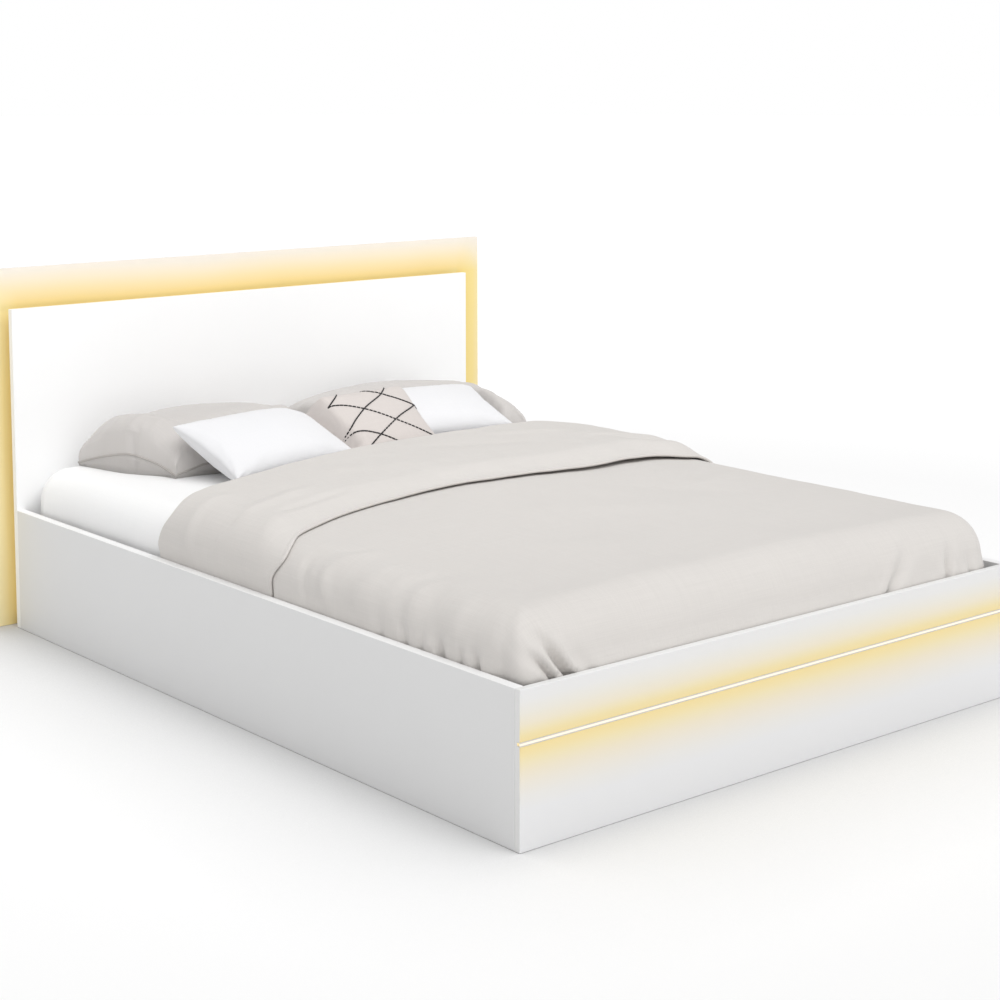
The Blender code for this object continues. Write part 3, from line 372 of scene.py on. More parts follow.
def glowing(name, colour, lamps, band=None):
    """A light strip: warm, with a faint row of brighter lamps, and dimmer at the edges of its band."""
    look = Look(name, 0.4)
    look.put("Base Color", STRIP_BASE)
    row = {"Vector": look.place, "Scale": lamps, "Distortion": 0.0}
    wave = look.node("TexWave", row, bands_direction="DIAGONAL").outputs["Fac"]
    factors = [look.spread(wave, 0.0, 1.0, 0.92, 1.0)]
    if band is not None:
        middle, half = (band[0] + band[1]) / 2, (band[1] - band[0]) / 2
        off = look.math("ABSOLUTE", look.minus(look.parts(look.place)[2], middle))
        factors.append(look.spread(off, 0.50 * half, 0.95 * half, 1.0, STRIP_EDGE))
    look.put("Emission Color", look.shade(colour, *factors))
    look.put("Emission Strength", STRIP_STRENGTH)
    look.bump((look.noise(look.place, 600.0, 1.0), 0.00003))
    return look.material


PINE_RINGS = (
    (0.00, (226, 196, 154)), (0.55, (220, 186, 140)), (0.86, (204, 164, 114)), (0.96, (190, 146, 96)),
    (1.00, (222, 190, 146)),
)


def pine(name, along, seed):
    """Planed softwood: growth rings drawn out along the grain, fine fibres and a few knots."""
    look = Look(name)
    stretch, fibre_scale = [7.0, 7.0, 7.0], [420.0, 420.0, 420.0]
    stretch[along], fibre_scale[along] = 0.55, 9.0
    drawn = look.scaled(look.place, stretch, (seed * 1.7, seed * 0.9, seed * 0.4))
    inputs = {"Vector": drawn, "Scale": 3.2, "Detail": 1.0, "Distortion": 0.9}
    rings = look.node("TexNoise", inputs).outputs["Fac"]
    warp = look.times(look.noise(drawn, 1.3, 3.0), 0.35)
    bands = look.math("FRACT", look.times(look.plus(rings, warp), 11.0))
    fibres = look.noise(look.scaled(look.place, fibre_scale), 1.0, 3.0)
    wood = look.shade(look.ramp(bands, PINE_RINGS), look.vary(fibres, 0.93, 1.03))
    knot = look.spread(look.voronoi(drawn, 0.9, "Distance"), 0.02, 0.07, 1.0, 0.0)
    look.put("Base Color", look.mix(knot, wood, tone(126, 82, 48)))
    look.put("Roughness", look.vary(fibres, 0.52, 0.68))
    look.bump((bands, 0.00012), (fibres, 0.00010))
    return look.material


def zinc():
    look = Look("zinc_plated_steel", 0.35, 1.0)
    grey = look.node("RGBToBW", {0: look.voronoi(look.place, 170.0, "Color")}).outputs[0]
    spangle = look.spread(grey, 0.2, 0.8)
    look.put("Base Color", look.mix(spangle, tone(196, 199, 203), tone(222, 224, 226)))
    look.put("Roughness", look.vary(look.noise(look.place, 60.0, 4.0), 0.28, 0.46))
    look.bump((look.noise(look.place, 300.0, 3.0), 0.00005))
    return look.material


def aluminium():
    look = Look("satin_aluminium", 0.3, 1.0)
    streaks = look.noise(look.scaled(look.place, (4.0, 900.0, 900.0)), 1.0, 3.0)
    look.put("Base Color", look.mix(streaks, tone(214, 216, 218), tone(236, 237, 238)))
    look.put("Roughness", look.vary(streaks, 0.24, 0.38))
    look.bump((streaks, 0.00003))
    return look.material


def moulded(name, colour):
    """Moulded plastic: fine spark texture and small changes of gloss."""
    look = Look(name)
    spark = look.noise(look.place, 700.0, 2.0)
    look.put("Base Color", look.shade(colour, look.vary(look.noise(look.place, 30.0, 3.0), 0.95, 1.0)))
    look.put("Roughness", look.vary(spark, 0.42, 0.6))
    look.bump((spark, 0.00006))
    return look.material


def webbing():
    """Woven tape: ribs crossed by finer cords."""
    look = Look("woven_tape", 0.85)
    x, y, z = look.parts(look.place)
    weave = look.times(look.waves(y, 380), look.waves(x, 520))
    worn = look.vary(look.noise(look.place, 25.0, 3.0), 0.93, 1.0)
    look.put("Base Color", look.shade(tone(196, 190, 182), look.spread(weave, -1.0, 1.0, 0.82, 1.04), worn))
    look.put("Sheen Weight", 0.2)
    look.bump((weave, 0.00025))
    return look.material


def fabric(name, colour, warp, weft, crease, mottle):
    """Plain-woven cotton: warp and weft threads, slubs, soft mottling and fine creases."""
    look = Look(name, 0.88)
    flat = look.node("UVMap", uv_map="cloth").outputs[0]
    x, y, z = look.parts(flat)
    slub_along = look.noise(look.scaled(flat, (warp * 0.9, 7.0, 1.0)), 1.0, 1.0)
    slub_across = look.noise(look.scaled(flat, (7.0, weft * 0.9, 1.0)), 1.0, 1.0)
    weave = look.times(look.waves(x, warp), look.waves(y, weft))
    cloudy = look.noise(flat, 3.5, 3.0)
    small = look.noise(flat, 38.0, 4.0, 0.6)
    look.put("Base Color", look.shade(
        tone(*colour),
        look.spread(weave, -1.0, 1.0, 0.975, 1.012),
        look.vary(slub_along, 1.0 - mottle, 1.0),
        look.vary(slub_across, 1.0 - mottle, 1.0),
        look.vary(cloudy, 0.985, 1.0),
    ))
    look.put("Roughness", look.vary(small, 0.82, 0.94))
    look.put("Sheen Weight", 0.25)
    look.put("Sheen Roughness", 0.5)
    look.put("Specular IOR Level", 0.2)
    look.bump((cloudy, 0.0015), (small, crease), (weave, 0.00006), (slub_along, 0.00008))
    return look.material


def dress(obj, material):
    """Give an object one material, in the object's own slot."""
    if not obj.material_slots:
        obj.data.materials.append(material)
    for slot in obj.material_slots:
        slot.link = "OBJECT"
        slot.material = material


def dress_frame():
    steel, warm = zinc(), glowing("light_strip", tone(255, 226, 150), 60.0)
    black = moulded("black_moulded_plastic", tone(48, 48, 50))
    line_low, line_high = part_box("footboard_led_diffuser")
    line = glowing("light_diffuser", tone(255, 246, 230), 0.0, (line_low.z, line_high.z))
    rail_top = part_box("side_panel_left")[1].z
    # One white laminate in a tone for each board by how it is lit: the rails and the footboard are painted
    # darker than the headboard as painted shade, and the rails' tops paler as a painted highlight
    looks = {
        "headboard_front_panel": laminate("white_laminate_headboard", tone(246, 246, 246)),
        "headboard_back_panel": lit_back_panel(),
        "headboard_led": warm,
        "side_panel": laminate("white_laminate_rail_painted_shade_and_highlight", tone(226, 226, 226), tone(242, 242, 242), rail_top),
        "footboard": lit_footboard(),
        "footboard_led_channel": aluminium(),
        "footboard_led_strip": warm,
        "footboard_led_diffuser": line,
        "led_power_supply": moulded("white_moulded_plastic", tone(236, 235, 231)),
        "power_inlet": black,
        "corner_bracket": steel,
        "bracket_screw": steel,
        "beam_hanger": steel,
        "centre_leg": steel,
        "screw_foot": black,
        "slat_tape": webbing(),
    }
    wooden = []
    for name in sorted(NODES):
        starts = [start for start in looks if name.startswith(start)]
        if starts:
            dress(NODES[name], looks[max(starts, key=len)])
        elif name.startswith(("headboard_batten", "side_ledge", "centre_beam", "slat_")):
            wooden.append(name)
    for index, name in enumerate(wooden):
        low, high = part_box(name)
        size = high - low
        along = max(range(3), key=lambda axis: size[axis])
        dress(NODES[name], pine("pine_" + name, along, index + 1))


# Shared measures of the soft goods
SHEET_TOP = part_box("fitted_sheet")[1].z
RAIL_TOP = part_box("side_panel_left")[1].z
HEAD_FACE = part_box("headboard_front_panel")[0].y
MATTRESS_LOW, MATTRESS_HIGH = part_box("mattress")
MATTRESS_HALF = (MATTRESS_HIGH.x, (MATTRESS_HIGH.y - MATTRESS_LOW.y) / 2)
MATTRESS_THICK = MATTRESS_HIGH.z - MATTRESS_LOW.z
MATTRESS_CENTRE = np.array((0.0, (MATTRESS_HIGH.y + MATTRESS_LOW.y) / 2, MATTRESS_LOW.z))
CORNER_RADIUS, TOP_RADIUS, BASE_RADIUS = 0.080, 0.072, 0.020
WALL_TOP = MATTRESS_THICK - TOP_RADIUS
GAP = 0.0003
SHEET_THICK = 0.0012
CORD_SIDES = 8
UP = Vector((0.0, 0.0, 1.0))


def smooth(share):
    share = np.clip(share, 0.0, 1.0)
    return share * share * (3 - 2 * share)


def bell(value, middle, width):
    """1 in the middle, fading to 0 on both sides."""
    return np.exp(-((value - middle) / width) ** 2)


def unit_rows(vectors):
    return vectors / (np.linalg.norm(vectors, axis=1)[:, None] + 1e-12)


def walked(path):
    """The length along a path up to each of its points."""
    return np.concatenate(([0.0], np.cumsum(np.linalg.norm(np.diff(path, axis=0), axis=1))))


def quarter_turn(steps):
    return [step / steps * math.pi / 2 for step in range(steps + 1)]


def ripple(x, y, seed, scale):
    """Soft seeded unevenness between -1 and 1, made of crossing waves."""
    random = np.random.default_rng(seed)
    total = 0.0
    for _ in range(7):
        angle = random.uniform(0, math.pi)
        length = scale * random.uniform(0.6, 1.6)
        phase = random.uniform(0, 2 * math.pi)
        along = x * math.cos(angle) + y * math.sin(angle)
        beyond = -x * math.sin(angle) + y * math.cos(angle)
        sway = 1.3 * np.sin(2 * math.pi * beyond / (2.3 * length))
        total = total + np.sin(2 * math.pi * along / length + phase + sway)
    return total / 4.2


def build(name, points, faces, uv):
    """A smooth-shaded mesh whose UV layer holds places on the flat cloth."""
    mesh = bpy.data.meshes.new(name)
    mesh.from_pydata([tuple(map(float, point)) for point in points], [], faces)
    layer = mesh.uv_layers.new(name="cloth")
    index = np.zeros(len(mesh.loops), np.int32)
    mesh.loops.foreach_get("vertex_index", index)
    layer.data.foreach_set("uv", np.asarray(uv, np.float32)[index].ravel())
    mesh.shade_smooth()
    return add_object(name, mesh)


def bridges(first, rings, sides, closed=False):
    """Faces between rings of equal counts whose points follow each other."""
    faces = []
    for index in range(rings if closed else rings - 1):
        here, there = first + index * sides, first + (index + 1) % rings * sides
        for step in range(sides):
            after = (step + 1) % sides
            faces.append((here + step, here + after, there + after, there + step))
    return faces


def caps(first, rings, sides):
    """The faces that close the first and the last ring."""
    last = first + (rings - 1) * sides
    return [tuple(range(first, first + sides))[::-1], tuple(range(last, last + sides))]


def finish_piece(obj, material):
    """Turn a piece's faces outwards, dress it and let it ride on the bed."""
    body = bmesh.new()
    body.from_mesh(obj.data)
    bmesh.ops.recalc_face_normals(body, faces=body.faces)
    if body.calc_volume(signed=True) < 0:
        bmesh.ops.reverse_faces(body, faces=body.faces)
    body.to_mesh(obj.data)
    body.free()
    dress(obj, material)
    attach(obj, "bed")


def add_piping(name, path, radius, material):
    """A round cord through the points of a closed path."""
    count = len(path)
    tangent = unit_rows(np.roll(path, -1, 0) - np.roll(path, 1, 0))
    side = unit_rows(np.cross(tangent, UP))
    over = np.cross(side, tangent)
    angles = np.arange(CORD_SIDES) * 2 * math.pi / CORD_SIDES
    around = np.cos(angles)[None, :, None] * side[:, None] + np.sin(angles)[None, :, None] * over[:, None]
    points = (path[:, None] + radius * around).reshape(-1, 3)
    uv = np.stack([np.repeat(walked(path), CORD_SIDES), np.tile(angles * radius, count)], 1)
    finish_piece(build(name, points, bridges(0, count, CORD_SIDES, closed=True), uv), material)


# Mattress and fitted sheet, with steps counted round a corner and along a side
MATTRESS_STEPS = (10, 26)
MATTRESS_UNDER = (0.20, 0.08, 0.03)
WALL_STEPS = 7
BEAD_RADIUS = 0.0028
SHEET_STEPS = (24, 70)
SKIRT = 0.030
PLEAT_PERIOD, PLEAT_DEPTH = 0.043, 0.0056
SLACK_PERIOD, SLACK_DEPTH = 0.19, 0.0014
GATHER_REACH = (0.16, 0.20)
ELASTIC_WAVES, ELASTIC_DEPTH = 30, 0.0008


def ring(offset, inset, height, steps):
    """The mattress outline, grown by an offset and drawn in, with its corners rounded."""
    corner_steps, side_steps = steps
    grow = offset - inset
    radius = max(CORNER_RADIUS + grow, 0.004)
    flat_x, flat_y = MATTRESS_HALF[0] + grow - radius, MATTRESS_HALF[1] + grow - radius
    corners = ((1, 1), (-1, 1), (-1, -1), (1, -1))

    def round_corner(corner, angle):
        return np.array((corner[0] * flat_x + radius * math.cos(angle),
                         corner[1] * flat_y + radius * math.sin(angle), height))

    points = []
    for number, corner in enumerate(corners):
        for angle in quarter_turn(corner_steps):
            points.append(round_corner(corner, number * math.pi / 2 + angle))
        start = points[-1]
        end = round_corner(corners[(number + 1) % 4], (number + 1) * math.pi / 2)
        for step in range(1, side_steps):
            points.append(start + (end - start) * step / side_steps)
    return np.array(points)


def skin(name, rings, closed):
    """A surface through rings of equal counts, with UVs along and up the cloth."""
    count = len(rings[0])
    faces = bridges(0, len(rings), count) + caps(0, len(rings), count)[0 if closed else 1:]
    rise = np.concatenate(([0.0], np.cumsum([np.abs(b - a).max() for a, b in zip(rings, rings[1:])])))
    uv = np.stack([np.tile(walked(rings[-1]), len(rings)), np.repeat(rise, count)], 1)
    return build(name, np.concatenate(rings), faces, uv)


def make_mattress(material, piping):
    profile = [(BASE_RADIUS + inset, 0.0) for inset in MATTRESS_UNDER]
    for angle in quarter_turn(4):
        profile.append((BASE_RADIUS * (1 - math.sin(angle)), BASE_RADIUS * (1 - math.cos(angle))))
    for step in range(1, WALL_STEPS):
        profile.append((0.0, BASE_RADIUS + (WALL_TOP - BASE_RADIUS) * step / WALL_STEPS))
    for angle in quarter_turn(8):
        profile.append((TOP_RADIUS * (1 - math.cos(angle)), WALL_TOP + TOP_RADIUS * math.sin(angle)))
    profile.append((TOP_RADIUS + 0.10, MATTRESS_THICK))
    rings = [ring(0.0, inset, height, MATTRESS_STEPS) + MATTRESS_CENTRE for inset, height in profile]
    obj = skin("mattress_block", rings, True)
    finish_piece(obj, material)
    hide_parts("mattress")
    bead = ring(0.0, 0.0035, BASE_RADIUS * 0.62, MATTRESS_STEPS) + MATTRESS_CENTRE
    add_piping("mattress_piping", bead, BEAD_RADIUS, piping)
    return obj


def wave_share(walk, period, sway, rate):
    """Uneven waves between 0 and 1 along a path."""
    return np.sin(2 * math.pi * walk / period + sway * np.sin(walk * rate)) * 0.5 + 0.5


def make_fitted_sheet(material):
    """A stretched sheet: smooth on top, gathered where its elastic pulls it in at the corners."""
    offset = GAP + SHEET_THICK
    top = MATTRESS_THICK + offset
    radius = TOP_RADIUS + offset
    profile = [(0.0, SKIRT + (WALL_TOP - SKIRT) * step / 10) for step in range(10)]
    for angle in quarter_turn(12):
        profile.append((radius * (1 - math.cos(angle)), WALL_TOP + radius * math.sin(angle)))
    profile += [(radius + 0.06, top), (radius + 0.25, top)]
    rings = []
    for inset, height in profile:
        level = ring(offset, inset, height, SHEET_STEPS)
        beyond = np.abs(level[:, :2]) - MATTRESS_HALF
        near = bell(beyond[:, 0], 0.0, GATHER_REACH[0]) * bell(beyond[:, 1], 0.0, GATHER_REACH[1])
        outward = np.zeros_like(level)
        outward[:, :2] = np.sign(level[:, :2]) * np.clip(beyond / CORNER_RADIUS + 1, 0, 1)
        walk = walked(level)
        low = 1 - smooth((height - SKIRT) / (MATTRESS_THICK - SKIRT - 0.004))
        pleats = PLEAT_DEPTH * wave_share(walk, PLEAT_PERIOD, 2.0, 17.0) * near
        puff = low * (pleats + SLACK_DEPTH * wave_share(walk, SLACK_PERIOD, 1.7, 5.0))
        rings.append(level + unit_rows(outward) * puff[:, None] + MATTRESS_CENTRE)
    turns = np.linspace(0, ELASTIC_WAVES * 2 * math.pi, len(rings[0]))
    rings[0][:, 2] += np.sin(turns) * ELASTIC_DEPTH
    obj = skin("fitted_sheet_cloth", rings, False)
    finish_piece(obj, material)
    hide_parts("fitted_sheet")


# Duvet
DUVET_SIDE_CLEARANCE = 0.0022
SHOULDER = TOP_RADIUS + GAP + SHEET_THICK
SHOULDER_ARC = SHOULDER * math.pi / 2
CORE_X = MATTRESS_HALF[0] + DUVET_SIDE_CLEARANCE - TOP_RADIUS
CORE_FOOT = MATTRESS_LOW.y - DUVET_SIDE_CLEARANCE + TOP_RADIUS
DUVET_BASE = SHEET_TOP + GAP
TUCK_DEPTH = 0.040
HANG = SHOULDER_ARC + DUVET_BASE - SHOULDER - (RAIL_TOP - TUCK_DEPTH)
RAIL_HANG = HANG - TUCK_DEPTH
DUVET_HALF = CORE_X + HANG
DUVET_GRID = 0.0065
SPARE_HANG = 0.030
HEAD_EDGE = HEAD_FACE - 0.571
HEAD_SWEEP = 0.200
FLAP_DEPTH, FLAP_SWEEP = 0.452, 0.170
# Where the duvet's head edge and the flap's edge run: place across, share of the sweep
HEAD_SHARES = np.array((
    (-1.00, 0.46), (-0.95, 0.47), (-0.90, 0.50), (-0.87, 0.58), (-0.84, 0.67), (-0.80, 0.68),
    (-0.71, 0.55), (-0.59, 0.44), (-0.36, 0.24), (-0.14, 0.07), (0.10, -0.04), (0.36, -0.06),
    (0.57, -0.04), (0.72, 0.08), (0.81, 0.61), (1.00, 0.61),
))
FLAP_SHARES = np.array((
    (-1.00, 0.54), (-0.95, 0.56), (-0.90, 0.62), (-0.85, 0.76), (-0.82, 0.70), (-0.78, 0.55),
    (-0.69, 0.35), (-0.58, 0.15), (-0.47, 0.03), (-0.36, -0.05), (-0.16, -0.12), (0.02, -0.09),
    (0.18, -0.01), (0.34, 0.09), (0.53, 0.00), (0.68, 0.00), (0.745, 0.16), (0.82, 0.23), (1.00, 0.23),
))
# Loft: over the frame's sides, foot and near corner, on the open cloth, and where it is tucked in
SIDE_FILL, FOOT_FILL, CORNER_FILL = 0.0105, 0.0325, 0.0180
LOFT_EDGE, LOFT_MIDDLE = 0.010, 0.020
TUCKED, TUCKED_SHARE, THINNEST = 0.006, 0.6, 0.0022
# How the loft changes: before the rail, down towards the foot and round the near corner
RAIL_BLEND = 0.040
SLOPE_START, SLOPE_LENGTH, SLOPE_DROP = 0.26, 0.32, 0.42
FOOT_START, FOOT_SPAN, FOOT_POWER = 0.25, 0.6, 2.6
CORNER_TURN, CORNER_SPAN = 0.56, 0.17
BENEATH_FLAP, FLAP_AT_RAIL = 0.0045, 0.0112
FLAP_LOFT, FLAP_PUFF, FLAP_LEAST = 0.028, 0.010, 0.003
STITCH_INSET, STITCH_WIDTH, STITCH_DEPTH = 0.011, 0.0028, 0.0009
POCKET, HEM = 0.060, 0.0034
# Folds of the main cloth as start, end, half width and height, with places across and along the cloth
BODY_FOLDS = (
    ((-0.785, -0.40), (-0.670, -0.34), 0.018, 0.0042),
    ((-0.785, -0.31), (-0.650, -0.27), 0.016, -0.0040),
    ((-0.74, -0.33), (-0.560, -0.42), 0.022, 0.0044),
    ((-0.70, -0.25), (-0.590, -0.40), 0.016, -0.0038),
    ((-0.76, -0.46), (-0.600, -0.52), 0.024, 0.0040),
    ((-0.75, -0.56), (-0.560, -0.66), 0.026, -0.0050),
    ((-0.76, -0.74), (-0.590, -0.65), 0.034, -0.0046),
    ((-0.76, -0.80), (-0.620, -0.78), 0.026, 0.0036),
    ((0.785, -0.60), (0.66, -0.55), 0.014, 0.0045),
    ((0.785, -0.70), (0.67, -0.66), 0.013, -0.0045),
    ((0.785, -0.42), (0.65, -0.36), 0.016, 0.0040),
    ((0.785, -0.33), (0.66, -0.29), 0.013, -0.0040),
    ((0.60, -0.28), (0.30, -0.40), 0.030, 0.0028),
    ((-0.20, -0.28), (0.25, -0.62), 0.060, 0.0024),
    ((-0.45, -0.50), (-0.05, -0.80), 0.055, 0.0020),
    ((0.10, -0.22), (0.50, -0.60), 0.050, -0.0022),
)
FLAP_FOLDS = (
    ((-0.70, -0.02), (-0.40, 0.09), 0.022, 0.0070),
    ((-0.64, -0.07), (-0.34, 0.02), 0.016, -0.0062),
    ((-0.76, 0.10), (-0.62, -0.03), 0.016, -0.0045),
    ((-0.77, 0.15), (-0.56, 0.15), 0.022, 0.0048),
    ((-0.40, 0.22), (0.05, 0.08), 0.045, 0.0034),
    ((0.00, 0.30), (0.35, 0.12), 0.040, -0.0032),
    ((0.25, 0.32), (0.55, 0.20), 0.030, 0.0042),
    ((0.45, 0.20), (0.70, 0.00), 0.022, 0.0045),
    ((0.50, 0.08), (0.74, -0.06), 0.016, -0.0040),
    ((-0.30, -0.02), (0.10, 0.02), 0.030, 0.0022),
)
# Pinched folds where the cloth is tucked in: start above the rail, end inside it, half width, depth
PINCHES = (
    ((-0.610, -0.520), (-0.785, -0.560), 0.016, 0.0030),
    ((-0.620, -0.590), (-0.785, -0.640), 0.014, 0.0045),
    ((-0.685, -0.700), (-0.785, -0.685), 0.010, 0.0038),
    ((-0.705, -0.728), (-0.785, -0.752), 0.013, 0.0125),
    ((-0.690, -0.815), (-0.785, -0.806), 0.009, 0.0042),
    ((-0.705, -0.838), (-0.785, -0.858), 0.011, 0.0105),
    ((-0.712, -0.928), (-0.634, -1.045), 0.0072, 0.0190),
    ((-0.684, -0.912), (-0.588, -1.045), 0.0090, 0.0270),
    ((-0.605, -0.955), (-0.530, -1.045), 0.0110, 0.0040),
    ((0.470, -0.915), (0.315, -1.045), 0.013, 0.0110),
    ((0.555, -0.945), (0.520, -1.045), 0.010, 0.0180),
    ((0.610, -0.940), (0.605, -1.045), 0.011, 0.0060),
    ((0.650, -0.640), (0.785, -0.625), 0.012, 0.0050),
    ((0.650, -0.765), (0.785, -0.742), 0.010, 0.0070),
    ((0.650, -0.860), (0.785, -0.842), 0.010, 0.0080),
)


def edge_share(table, across):
    """A smooth curve through a table of places and shares."""
    places, shares = table.T
    slopes = np.gradient(shares, places)
    place = np.clip(across / DUVET_HALF, -1.0, 1.0)
    index = np.clip(np.searchsorted(places, place) - 1, 0, len(places) - 2)
    step = places[index + 1] - places[index]
    t = (place - places[index]) / step
    start = (1 + 2 * t) * (1 - t) ** 2 * shares[index] + t * (1 - t) ** 2 * step * slopes[index]
    return start + t * t * (3 - 2 * t) * shares[index + 1] + t * t * (t - 1) * step * slopes[index + 1]


def duvet_base(across, along):
    """Where points of the cloth's underside lie, their outward normals and their hang."""
    core_x, core_y = np.clip(across, -CORE_X, CORE_X), np.maximum(along, CORE_FOOT)
    out_x, out_y = across - core_x, along - core_y
    hang = np.hypot(out_x, out_y)
    flat = np.maximum(hang, 1e-9)
    out_x, out_y = out_x / flat, out_y / flat
    hang = np.where(hang > HANG, HANG + SPARE_HANG * (1 - np.exp((HANG - hang) / SPARE_HANG)), hang)
    angle = np.minimum(hang / SHOULDER, math.pi / 2)
    reach = SHOULDER * np.sin(angle)
    drop = SHOULDER * (1 - np.cos(angle)) + np.maximum(hang - SHOULDER_ARC, 0.0)
    place = np.stack([core_x + out_x * reach, core_y + out_y * reach, DUVET_BASE - drop], -1)
    normal = np.stack([out_x * np.sin(angle), out_y * np.sin(angle), np.cos(angle)], -1)
    return place, normal, hang


def beside_line(x, y, start, end):
    """Where points lie along a line between two places, as a share, and how far beside it."""
    line = np.array(end) - start
    length = np.linalg.norm(line)
    unit = line / length
    x, y = x - start[0], y - start[1]
    return (x * unit[0] + y * unit[1]) / length, y * unit[0] - x * unit[1]


def creases(x, y, folds):
    """Folds along lines between two places, fading out at both ends."""
    total = 0.0
    for start, end, width, height in folds:
        t, off = beside_line(x, y, start, end)
        bend = 0.25 * width * np.sin(math.pi * t * 1.3 + start[0] * 9)
        total = total + height * bell(off, bend, width) * smooth(t / 0.3) * smooth((1 - t) / 0.35)
    return total


def pinch(x, y, start, end, width, depth):
    """A fold that deepens and narrows from its start to its end, and goes on past it."""
    t, off = beside_line(x, y, start, end)
    off = off / (width * (1.6 - 0.8 * np.clip(t, 0, 1)))
    banks = 0.30 * (bell(off, 1.9, 1.0) + bell(off, -1.9, 1.0))
    deepen = smooth(t / 0.9)
    return depth * deepen * (0.35 + 0.65 * deepen) * (bell(off, 0.0, 1.0) - banks)


def at_rail(hang):
    """0 on the open cloth, 1 where it goes in behind the frame's top edge."""
    return smooth((hang - RAIL_HANG) / RAIL_BLEND + 1)


def body_height(across, along, hang):
    """Loft of the main cloth over its underside."""
    out_x = np.maximum(np.abs(across) - CORE_X, 0.0)
    out_y = np.maximum(CORE_FOOT - along, 0.0)
    turn = np.arctan2(out_y, out_x + 1e-9) / (math.pi / 2)
    turn = np.where(hang < 1e-6, 0.0, turn)
    at_foot = smooth((turn - FOOT_START) / FOOT_SPAN)
    fill = SIDE_FILL + (FOOT_FILL - SIDE_FILL) * at_foot
    fill = fill + CORNER_FILL * bell(turn, CORNER_TURN, CORNER_SPAN) * (across < 0)
    slope = smooth((CORE_FOOT + SLOPE_START - along) / SLOPE_LENGTH)
    crown = (1 - (across / CORE_X) ** 2) * (1 - smooth(hang / SHOULDER_ARC)) * (1 - SLOPE_DROP * slope)
    loft = LOFT_EDGE + LOFT_MIDDLE * crown
    grow = smooth(hang / (RAIL_HANG * 0.95))
    grow = grow + (np.clip(hang / (RAIL_HANG * 0.99), 0.0, 1.0) ** FOOT_POWER - grow) * at_foot
    height = loft + (fill - loft) * grow
    height = height - (height - TUCKED) * smooth((hang - RAIL_HANG) / TUCK_DEPTH) * TUCKED_SHARE
    uneven = 0.0013 * ripple(across, along, 4, 0.36) + 0.0005 * ripple(across, along, 9, 0.11)
    height = height + (creases(across, along, BODY_FOLDS) + uneven) * (1 - 0.9 * at_rail(hang))
    for start, end, width, depth in PINCHES:
        height = height - pinch(across, along, start, end, width, depth)
    ceiling = np.where(hang > RAIL_HANG - 0.006, fill + 0.0004, 1.0)
    return np.clip(height, THINNEST, ceiling)


def flap_lift(across):
    """Gap under the flap's edge: a few millimetres, more near the right-hand end."""
    lift = 0.0070 * bell(across, 0.42, 0.20) + 0.0030 * bell(across, 0.02, 0.34)
    lift = lift + 0.0012 * smooth((across + 0.62) / 0.22)
    return 0.0018 + lift + 0.0006 * ripple(across, across * 0, 3, 0.4)


def rows_between(start, end, count, power=1.0):
    return start + (end - start) * np.linspace(0.0, 1.0, count)[:, None] ** power


def turn_over(first, last, steps, reach):
    """A rolled edge from one row of points round to another, reaching out along Y."""
    centre = (first + last) / 2
    radius = np.linalg.norm(last - first, axis=1) / 2
    upward = (last - first) / (2 * radius[:, None])
    rows = []
    for step in range(1, steps):
        angle = -math.pi / 2 + math.pi * step / steps
        row = centre + upward * (np.sin(angle) * radius)[:, None]
        row[:, 1] += reach * np.cos(angle) * radius
        rows.append(row)
    return np.array(rows)


